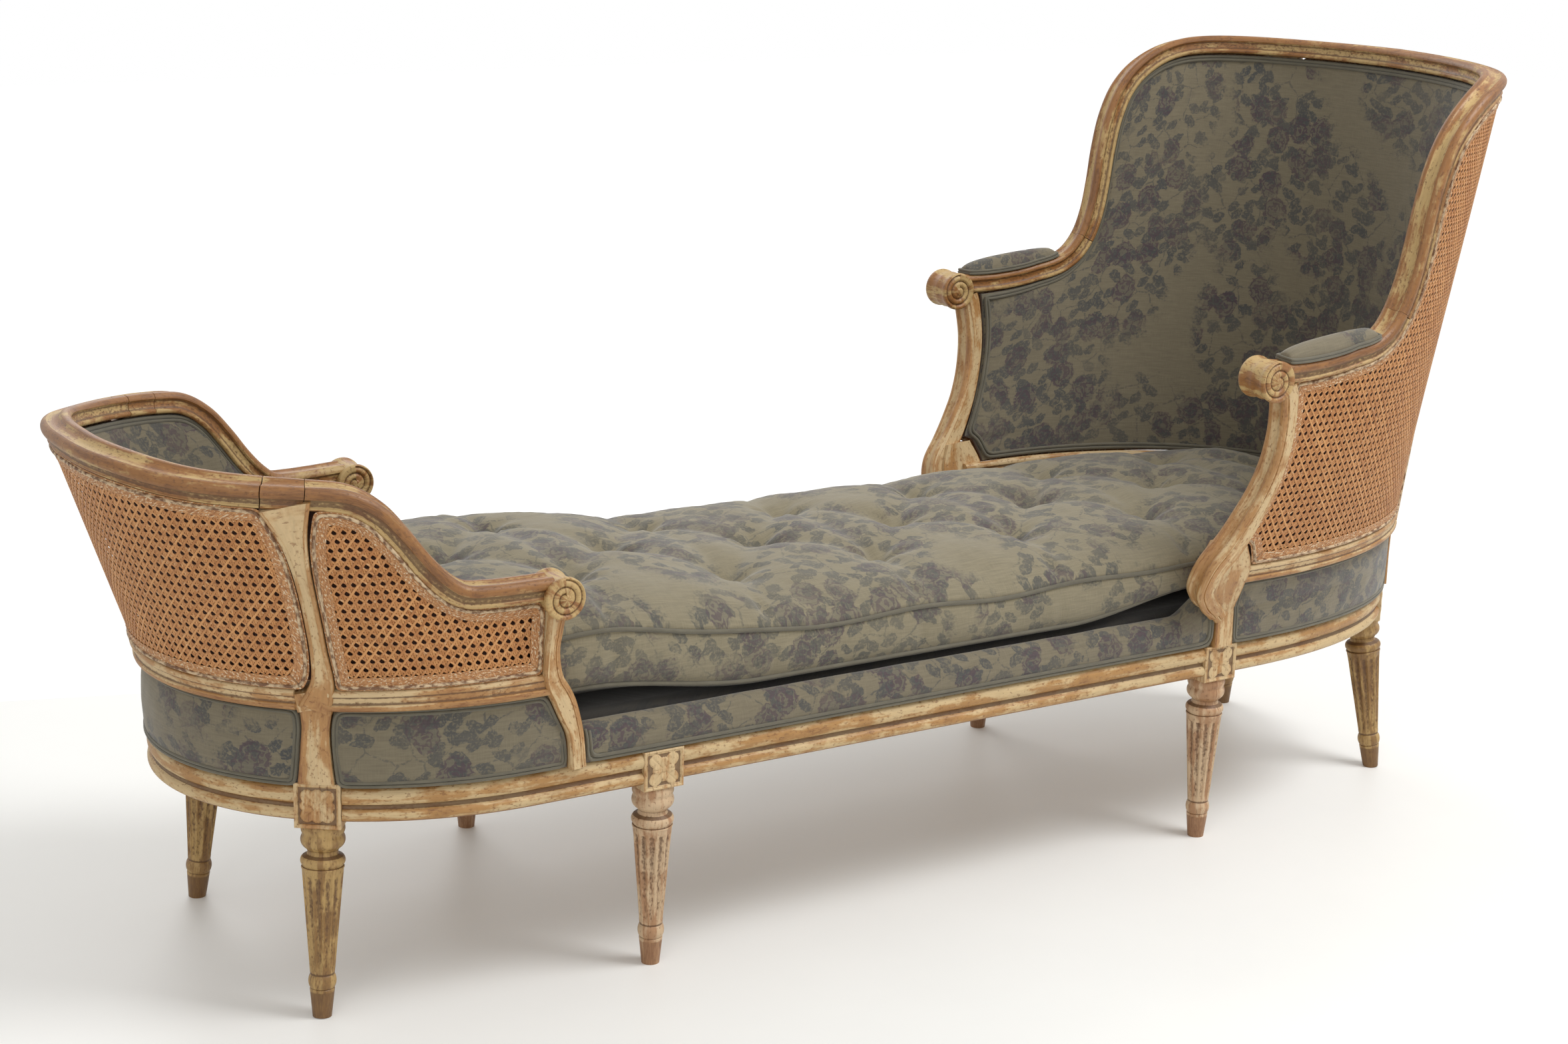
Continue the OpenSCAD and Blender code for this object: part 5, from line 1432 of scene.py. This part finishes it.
def inner_pad(name, panel, nu, nv):
    def face(u, v):
        ends = np.clip(np.minimum(u, 1 - u) * 16, 0, 1) ** 0.5
        return -PAD_EDGE - PAD_CROWN * swell(v) * ends
    shape = padding(panel, face, -TONGUE_IN - 0.8, nu, nv, 1.3)
    piece(f"{name}_inner_padding", shape, linen,
                    [f"{name}_inner_pad"])
    welt = double_welt(panel, -PAD_EDGE - 3.6, radius=2.3, first=3.0, corner=12)
    piece(f"{name}_inner_welt", welt, welt_cloth)


inner_pad("foot", pad_panel(FOOT, foot_line, foot_support_line, foot_high), 260, 56)
inner_pad("head", pad_panel(HEAD, head_line, head_front_edge, head_high), 300, 110)

# Bands under the cane
BAND_LOW = RAIL_TOP + 0.4
BAND_HIGH = LEAN_START - 0.4


def band_panel(wall, start, stop):
    return Panel(wall, level(start[0, 0], stop[0, 0], BAND_LOW),
                 level(start[-1, 0], stop[-1, 0], BAND_HIGH), start, stop)


def post_side(wall, angle, side):
    return upright(beside(wall, post_line(angle), -side * 1.0, -side), BAND_LOW, BAND_HIGH)


def band_face(u, v):
    ends = np.clip(np.minimum(u, 1 - u) * 22, 0, 1) ** 0.5
    return 1 + BAND_BULGE * np.sqrt(np.clip(1 - (2 * v - 1) ** 2, 0, 1)) * ends


def band(wall, start, stop, seed):
    panel = band_panel(wall, start, stop)
    return padding(panel, band_face, -BAND_BULGE, 150, 26, seed), double_welt(panel, 3.6)


for name, wall, angle, line in ENDS:
    edge = post_side(wall, angle, 1)
    pad, welt = band(wall, edge, opposite(edge), 2.0)
    piece(f"{name}_band_end_dressed", pad, linen,
                    [f"{name}_band_end"])
    piece(f"{name}_band_end_welt", welt, welt_cloth)
    front = upright(beside(wall, line, -0.8, -1), BAND_LOW, BAND_HIGH)
    pad, welt = band(wall, front, post_side(wall, angle, -1), 3.0)
    both_sides(f"{name}_band", pad, linen)
    pair(f"{name}_band_welt", welt, welt_cloth)


# Padding on the arms of the head end, with its gimp
ARM_PAD_STATIONS = slice(8, 37)


def arm_pads():
    line = head_line[ARM_PAD_STATIONS]
    n = len(line)
    fine = np.stack([np.interp(np.linspace(0, n - 1, 90), np.arange(n), line[:, k])
                     for k in range(4)], 1)
    point, out, side = frames_on(HEAD, fine)
    t = np.linspace(0, 1, len(fine))
    rise = 0.3 + 0.7 * np.clip(np.sin(math.pi * t), 0, 1) ** 0.45
    half, middle = CREST_DEPTH / 2 - 3, CREST_OUT - CREST_DEPTH / 2
    c = np.radians(np.linspace(0, 180, 34))
    wide = half * np.cos(c)[None] * (0.7 + 0.3 * rise[:, None]) + middle
    tall = HALF_FACE - 0.5 + ARM_PAD_HEIGHT * np.sin(c)[None] ** 0.85 * rise[:, None]
    rings = point[:, None] + out[:, None] * wide[..., None] + side[:, None] * tall[..., None]
    both_sides("arm_pad", lofted(Shape(), rings), linen)
    gimp = Shape()
    for k in range(2):
        reach = half * (0.7 + 0.3 * rise) + 1.5 - 0.6 * k
        at = HALF_FACE + 1.4 + 3.6 * k
        sides = [point + out * (middle + s * reach)[:, None] + side * at for s in (1, -1)]
        loop = even_loop(np.concatenate([sides[0], sides[1][::-1]]), 239)
        tube(gimp, loop, 1.9, loop=True)
    pair("arm_gimp", gimp, welt_cloth)


arm_pads()


# Rolled edges of the seat
def edge_rolls():
    x0 = FOOT_LEG_X - FOOT_SCROLL_X + 31 + 11.5
    x1 = HEAD_LEG_X - HEAD_POST_HALF - 2.5

    def growth(x):
        """The roll rises to meet the support of the head end's arm."""
        return 1 + 0.62 * smooth((x - x1 + 62) / 56)

    section = curve(np.array([
        [0.2, 0.5], [-2.4, 12], [-2.6, 24], [1, 36], [7, 43], [15, ROLL_HEIGHT], [23, 43],
        [29, 34], [30, 10], [29, 0.5]]) + [-SEAT_HALF, RAIL_TOP], 7)
    x = np.linspace(x0, x1, 220)
    middle = np.array([-SEAT_HALF + 14, RAIL_TOP + 20])
    draw = np.clip(np.minimum(x - x0, x1 - x) / 5, 0, 1) ** 0.5 * 0.08 + 0.92
    wave = ripples(np.stack([x, 0 * x], 1), 150, 4.0) * 0.7
    flat = middle + (section - middle) * draw[:, None, None]
    flat[..., 1] = RAIL_TOP + (flat[..., 1] - RAIL_TOP) * growth(x)[:, None]
    flat = flat + np.stack([0 * wave, wave], 1)[:, None] * (section[:, 1:] > RAIL_TOP + 25)
    rings = np.concatenate([np.broadcast_to(x[:, None, None], flat.shape[:2] + (1,)), flat], -1)
    both_sides("edge_roll", lofted(Shape(), rings), linen)
    welt = Shape()
    for k in range(2):
        low, high, end = RAIL_TOP + 3.0 + 4.4 * k, RAIL_TOP + 40 - 2 * k, 3 + 4.4 * k
        corners = np.array([[x0 + end, high], [x0 + end, low + 6], [x0 + end + 6, low],
                            [x1 - end - 6, low], [x1 - end, low + 6], [x1 - end, high + 22]])
        path = evenly(corners, 420)
        for _ in range(8):
            path[1:-1] = path[1:-1] / 2 + (path[2:] + path[:-2]) / 4
        out = np.interp((path[:, 1] - RAIL_TOP) / growth(path[:, 0]), [0, 12, 24, 36, 43],
                        [0, 2.6, 2.8, -1, -7])
        points = np.stack([path[:, 0], -SEAT_HALF - out - 0.6, path[:, 1]], 1)
        tube(welt, points, 2.2, up=np.array([0.1, -1, 0.2]))
    pair("edge_roll_welt", welt, welt_cloth)


edge_rolls()

# The platform, the webbing under it and the loose mattress
FOOT_TIP = FOOT_LEG_X - FOOT_LOW[0] - FOOT_LOW[1]
HEAD_TIP = HEAD_LEG_X + HEAD_LOW[0] + HEAD_LOW[1]
PLATFORM_LOW = RAIL_TOP - 3
PLATFORM_TOP = PLATFORM_LOW + PLATFORM_THICK


def seat_plan(draw, count):
    """The outline of the seat, drawn in all round, with even steps."""
    a = np.radians(np.linspace(-90, 90, 160))
    ends = []
    for leg_x, way, low in ((HEAD_LEG_X, 1, HEAD_LOW), (FOOT_LEG_X, -1, FOOT_LOW)):
        x = leg_x + way * (low[0] + (low[1] - draw) * np.maximum(np.cos(a), 0) ** (2 / low[3]))
        y = way * (SEAT_HALF - draw) * np.sign(a) * np.abs(np.sin(a)) ** (2 / low[3])
        ends.append(np.stack([x, y], 1))
    return even_loop(np.concatenate(ends), count)


def platform():
    low, high = RAIL_TOP + 5.6, PLATFORM_TOP
    draws = [(40, low), (35, low + 3), (34, low + 12), (34, high - 14), (36, high - 6),
             (41, high - 2), (50, high)]
    plans = [seat_plan(d, 300) for d, _ in draws]
    rings = np.stack([np.concatenate([p, np.full((300, 1), z)], 1)
                      for p, (_, z) in zip(plans, draws)])
    shape = lofted(Shape(), rings)
    # Its near-black cloth is painted shade for the gap round the mattress
    piece("seat_platform_dressed", shape, platform_cloth_darkened_as_shade,
                    ["seat_platform"])


platform()


def inner_half(x):
    """Half the width between the rails' inner faces at x."""
    plan = seat_plan(RAIL_DEPTH + 1, 1200)
    side = plan[plan[:, 1] > 0]
    order = np.argsort(side[:, 0])
    return np.interp(x, side[order, 0], side[order, 1])


def webbing():
    shape = Shape()
    pitch = WEB_WIDTH * 1.45
    z = PLATFORM_LOW - WEB_THICK
    leg, half, thin = BLOCK_WIDTH / 2, WEB_WIDTH / 2, 0.8

    def centres(a, b):
        n = math.floor((b - a) / pitch)
        return (a + b) / 2 + (np.arange(n) - (n - 1) / 2) * pitch

    across = np.concatenate([centres(FOOT_TIP + WEB_WIDTH, FOOT_LEG_X - leg),
                             centres(FOOT_LEG_X + leg, HEAD_LEG_X - leg),
                             centres(HEAD_LEG_X + leg, HEAD_TIP - WEB_WIDTH)])
    along = centres(-SEAT_HALF + RAIL_DEPTH, SEAT_HALF - RAIL_DEPTH)
    ring = np.array([[-half, -thin], [half, -thin], [half, thin], [-half, thin]])
    for i, x in enumerate(across):
        reach = float(min(inner_half(x - half), inner_half(x + half)))
        y = np.linspace(-reach, reach, 60)
        wave = 0.9 * np.cos(math.pi * (y - along[0]) / pitch) * (-1) ** i
        rings = np.stack(np.broadcast_arrays(x + ring[None, :, 0], y[:, None],
                                             z + wave[:, None] + ring[None, :, 1]), -1)
        lofted(shape, rings)
    for j, y in enumerate(along):
        xs = np.linspace(FOOT_TIP, HEAD_TIP, 400)
        fits = xs[inner_half(xs) > abs(y) + half]
        xs = np.linspace(fits[0], fits[-1], 260)
        phase = np.interp(xs, across, np.arange(len(across)))
        wave = -0.9 * np.cos(math.pi * phase) * (-1) ** j
        rings = np.stack(np.broadcast_arrays(xs[:, None], y + ring[None, :, 0],
                                             z + wave[:, None] + ring[None, :, 1]), -1)
        lofted(shape, rings)
    piece("webbing_woven", shape, jute, ["webbing"])


webbing()

# How far the mattress's hem rises at both ends, how deep the marks on its top are, how far
# its side's pattern lies from its top's, and the radii and heights of a button
HEM_RISE = 25
TUFT_DIP = 30
CREASE_DIP = 6.5
GATHER_LIFT = 2.0
PLEAT_DIP = 7
SIDE_APART = 700
BUTTON = ((0.4, 3.2), (3, 3.0), (5.4, 2.0), (6.6, 0.6), (6.0, -1.5), (0.4, -2))


def tuft_marks(x, y, tufts, pitch):
    """Where the top dips at its tufts, creases between them and gathers round them."""
    dip, crease, gather = 0 * x, 0 * x, 0 * x
    for k, (tx, ty) in enumerate(tufts):
        d = np.hypot(x - tx, y - ty)
        turn = np.arctan2(y - ty, x - tx)
        dip = dip + np.exp(-(d / 32) ** 1.15)
        gather = gather + np.cos(6 * turn + 2 * k) * np.exp(-((d - 28) / 18) ** 2)
    for k, (tx, ty) in enumerate(tufts):
        for bx, by in tufts[k + 1:]:
            length = math.hypot(bx - tx, by - ty)
            if length > pitch * 1.2 or abs(by - ty) < 1:
                continue
            t = np.clip(((x - tx) * (bx - tx) + (y - ty) * (by - ty)) / length ** 2, 0, 1)
            gap = np.hypot(x - tx - t * (bx - tx), y - ty - t * (by - ty))
            crease = np.maximum(crease, np.exp(-(gap / 20) ** 1.5))
    for tx, ty in tufts[np.abs(tufts[:, 1]) > 1]:
        gap = np.hypot(x - tx, 0 * y) + np.where(np.sign(y) == np.sign(ty), 0, 400)
        outer = np.abs(y) > abs(ty)
        crease = np.maximum(crease, np.where(outer, np.exp(-(gap / 15) ** 1.4) * 0.8, 0))
    return dip, crease, gather


def mattress_buttons(tufts, top):
    shape = Shape()
    a = np.arange(20) * 2 * math.pi / 20
    for tx, ty in tufts:
        near = np.argmin(np.hypot(top[..., 0] - tx, top[..., 1] - ty))
        tz = float(top[..., 2].reshape(-1)[near])
        lofted(shape, np.stack([
            np.stack([tx + radius * np.cos(a), ty + radius * np.sin(a),
                      np.full(20, tz + 0.8 + lift)], 1) for radius, lift in BUTTON]))
    piece("mattress_tufts", shape, bed_linen, body="mattress")


def mattress():
    draw = CREST_IN + MATTRESS_PLAY
    low = PLATFORM_TOP + 0.5
    around, inward = 760, 84
    plan = seat_plan(draw, around)
    s = travelled(ringed(plan))[:-1]
    foot, head = FOOT_TIP + draw, HEAD_TIP - draw
    spine = np.stack([np.clip(plan[:, 0], foot + 230, head - 230), 0 * s], 1)

    def hem_height(x):
        return low + HEM_RISE * np.maximum(smooth((FOOT_LEG_X + 150 - x) / 240),
                                           smooth((x - HEAD_LEG_X + 240) / 230))

    def welt_height(x):
        t = smooth((FOOT_LEG_X + 240 - x) / 320)
        return low + MATTRESS_EDGE + MATTRESS_RISE * t

    pitch = (head - foot) / TUFTS_LONG
    tufts = np.array([[foot + (i + (0.5 if row == 0 else 0)) * pitch, row * TUFT_ROW]
                      for row in (-1, 0, 1) for i in range(TUFTS_LONG + 1)])
    tufts = tufts[(tufts[:, 0] > foot + 60) & (tufts[:, 0] < head - 60)]
    wave = 2.2 * np.sin(s / 37) + 1.6 * np.sin(s / 61 + 1)
    pleat = np.exp(-((np.mod(s + 60, 218) - 109) / 7.0) ** 2)

    r = np.linspace(1, 0.0, inward)[:, None]
    flat = spine[None] + (plan - spine)[None] * r[..., None]
    x, y = flat[..., 0], flat[..., 1]
    crown = (MATTRESS_CROWN - 7) * np.clip(1 - r ** 3.2, 0, 1) ** 0.62
    from_end = np.minimum(x - foot, head - x)
    ease = np.sqrt(np.clip(from_end / 120, 0, 1)) * 0.25 + 0.75
    dip, crease, gather = tuft_marks(x, y, tufts, pitch)
    inner = 1 - r
    z = (welt_height(x) + 2 + crown * ease - TUFT_DIP * np.minimum(dip, 1.1)
         - CREASE_DIP * crease * np.clip(inner * 6, 0, 1) + GATHER_LIFT * gather
         + 3.0 * ripples(flat, 190, 2.0) * np.clip(inner * 8, 0, 1)
         + 0.5 * ripples(flat, 34, 5.0) + wave * np.clip(1 - inner * 5, 0, 1)
         - PLEAT_DIP * pleat * smooth((r - 0.72) / 0.2) * np.clip(inner * 14, 0, 1))
    top = np.stack([x, y, np.maximum(z, low + 40)], -1)

    rim = welt_height(plan[:, 0]) + wave
    out = unit(np.stack([np.roll(plan[:, 1], -1) - np.roll(plan[:, 1], 1),
                         np.roll(plan[:, 0], 1) - np.roll(plan[:, 0], -1)], 1))
    if np.sum(out * plan) < 0:
        out = -out
    rows = []
    hem = hem_height(plan[:, 0])
    for t in np.linspace(0, 1, 22):
        tuck = -(4 + 0.4 * (hem - low)) * (1 - min(1, t / 0.3)) ** 2
        puff = (6.5 * math.sin(math.pi * t) ** 0.7 - 2.2) * (1 - 0.4 * pleat) + tuck
        puff = puff + 0.8 * np.sin(s / 23 + 3 * t) * math.sin(math.pi * t)
        rows.append(np.concatenate([plan + out * puff[:, None],
                                    mix(hem, rim, t)[:, None]], 1))
    under_side = [np.concatenate([spine + (plan - spine) * k, np.full((around, 1), low)], 1)
                  for k in (0.0, 0.5, 0.72)]
    rings = np.concatenate([np.stack(under_side), np.stack(rows), top])
    shape = Shape()
    faces = [quads(len(rings), around, wrap=True)]
    lie = rings[..., :2].copy()
    side = slice(len(under_side), len(under_side) + len(rows))
    lie[side, :, 0] = s
    lie[side, :, 1] = rings[side, :, 2] - low + SIDE_APART
    shape.closed(rings.reshape(-1, 3), faces, lie.reshape(-1, 2))
    piece("tufted_mattress", shape, bed_linen, ["mattress"],
                    body="mattress", sharp=75)
    welts = Shape()
    for welt_z, reach, radius in ((rim + 0.5, -0.2, 2.8), (hem + 6, 0.5 - 0.2 * (hem - low), 2.9)):
        path = np.concatenate([plan + out * np.reshape(reach, (-1, 1)), welt_z[:, None]], 1)
        tube(welts, path, radius, loop=True, around=10)
    piece("mattress_welts", welts, welt_cloth, body="mattress")
    mattress_buttons(tufts, top)


mattress()

# The cross rails keep their solids
for name in ("foot_cross_rail", "head_cross_rail"):
    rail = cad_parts[name]
    rail.data.materials.clear()
    rail.data.materials.append(beech)


# Camera, light, floor and background
CAMERA_PLACE = (-1.890, -2.865, 1.369)
CAMERA_TURN = (0.572, 0.265, 0.028)
FOCAL_LENGTH = 62.56
# Name, place, target, size and watts
LAMPS = (("window", (1.8, -1.8, 3.7), (0, 0, 0.4), 1.8, 108),
         ("fill", (-3.0, -3.0, 2.4), (-0.2, 0, 0.4), 2.5, 26),
         ("back", (0.5, 3.2, 2.6), (0.2, 0, 0.5), 2.0, 30))
# The camera sees the floor as white beyond this line, given by its direction and distance
WHITE_WAY = (0.300, 0.954, 0)
WHITE_FROM = (0.756, 0.760)
FLOOR_TONES = (0.85, 0.855, 0.84), (0.91, 0.915, 0.90)
FLOOR_GLOW = (0.045, 0.045, 0.044)
WHITE_GLOW = (0.97, 0.97, 0.955)
FLOOR_HALF = 9
SKY = (1.0, 0.985, 0.95)
SKY_STRENGTH = 0.60


def set_camera():
    yaw, pitch, roll = CAMERA_TURN
    ahead = Vector((math.sin(yaw) * math.cos(pitch), math.cos(yaw) * math.cos(pitch),
                    -math.sin(pitch)))
    right = Vector((math.cos(yaw), -math.sin(yaw), 0))
    up = right.cross(ahead)
    level_right = right * math.cos(roll) + up * math.sin(roll)
    level_up = up * math.cos(roll) - right * math.sin(roll)
    lens = bpy.data.cameras.new("view")
    lens.sensor_width, lens.lens = 36, FOCAL_LENGTH
    camera = bpy.data.objects.new("view", lens)
    turn = Matrix((level_right, level_up, -ahead)).transposed().to_4x4()
    camera.matrix_world = Matrix.Translation(CAMERA_PLACE) @ turn
    bpy.context.scene.collection.objects.link(camera)
    bpy.context.scene.camera = camera


def lamp(name, place, target, size, watts):
    data = bpy.data.lights.new(name, "AREA")
    data.shape, data.size, data.energy = "SQUARE", size, watts
    obj = bpy.data.objects.new(name, data)
    obj.location = place
    obj.rotation_euler = (Vector(target) - Vector(place)).to_track_quat("-Z", "Y").to_euler()
    bpy.context.scene.collection.objects.link(obj)


def seen_white(n, colour, strength):
    """White where the camera, a gloss or a glass looks, and a plain light otherwise."""
    path = n.tree.nodes.new("ShaderNodeLightPath").outputs
    seen = n.calc("MINIMUM", n.total(path["Is Camera Ray"], path["Is Glossy Ray"],
                                     path["Is Transmission Ray"]), 1.0)
    return n.blend(seen, colour, (1, 1, 1)), n.ranged(seen, 0.0, 1.0, strength, 1.0)


def set_stage():
    scene = bpy.context.scene
    scene.view_settings.view_transform = "Standard"
    world = bpy.data.worlds.new("studio")
    scene.world = world
    world.use_nodes = True
    n = Nodes(world.node_tree)
    background = world.node_tree.nodes["Background"]
    colour, strength = seen_white(n, SKY, SKY_STRENGTH)
    n.feed(background.inputs["Color"], colour)
    n.feed(background.inputs["Strength"], strength)
    for values in LAMPS:
        lamp(*values)

    floor = bpy.data.materials.new("pale floor")
    floor.use_nodes = True
    n = Nodes(floor.node_tree)
    shader = floor.node_tree.nodes["Principled BSDF"]
    place = n.add("NewGeometry", {})
    behind = n.add("VectorMath", {0: place, 1: WHITE_WAY}, out=1, operation="DOT_PRODUCT")
    beyond = n.step(behind, *WHITE_FROM)
    camera_sees = n.add("LightPath", {})
    white = n.times(beyond, camera_sees)
    scuffs = n.noise(place, scale=3.0, detail=4.0)
    ground = n.blend(scuffs, *FLOOR_TONES)
    n.feed(shader.inputs["Base Color"], n.blend(white, ground, (0, 0, 0)))
    n.feed(shader.inputs["Emission Color"], n.blend(white, FLOOR_GLOW, WHITE_GLOW))
    shader.inputs["Emission Strength"].default_value = 1.0
    shader.inputs["Roughness"].default_value = 0.5
    mesh = bpy.data.meshes.new("floor")
    mesh.from_pydata([(x * FLOOR_HALF, y * FLOOR_HALF, 0)
                      for x, y in ((-1, -1), (1, -1), (1, 1), (-1, 1))], [], [(0, 1, 2, 3)])
    mesh.materials.append(floor)
    ground_piece = bpy.data.objects.new("floor", mesh)
    scene.collection.objects.link(ground_piece)


set_camera()
set_stage()
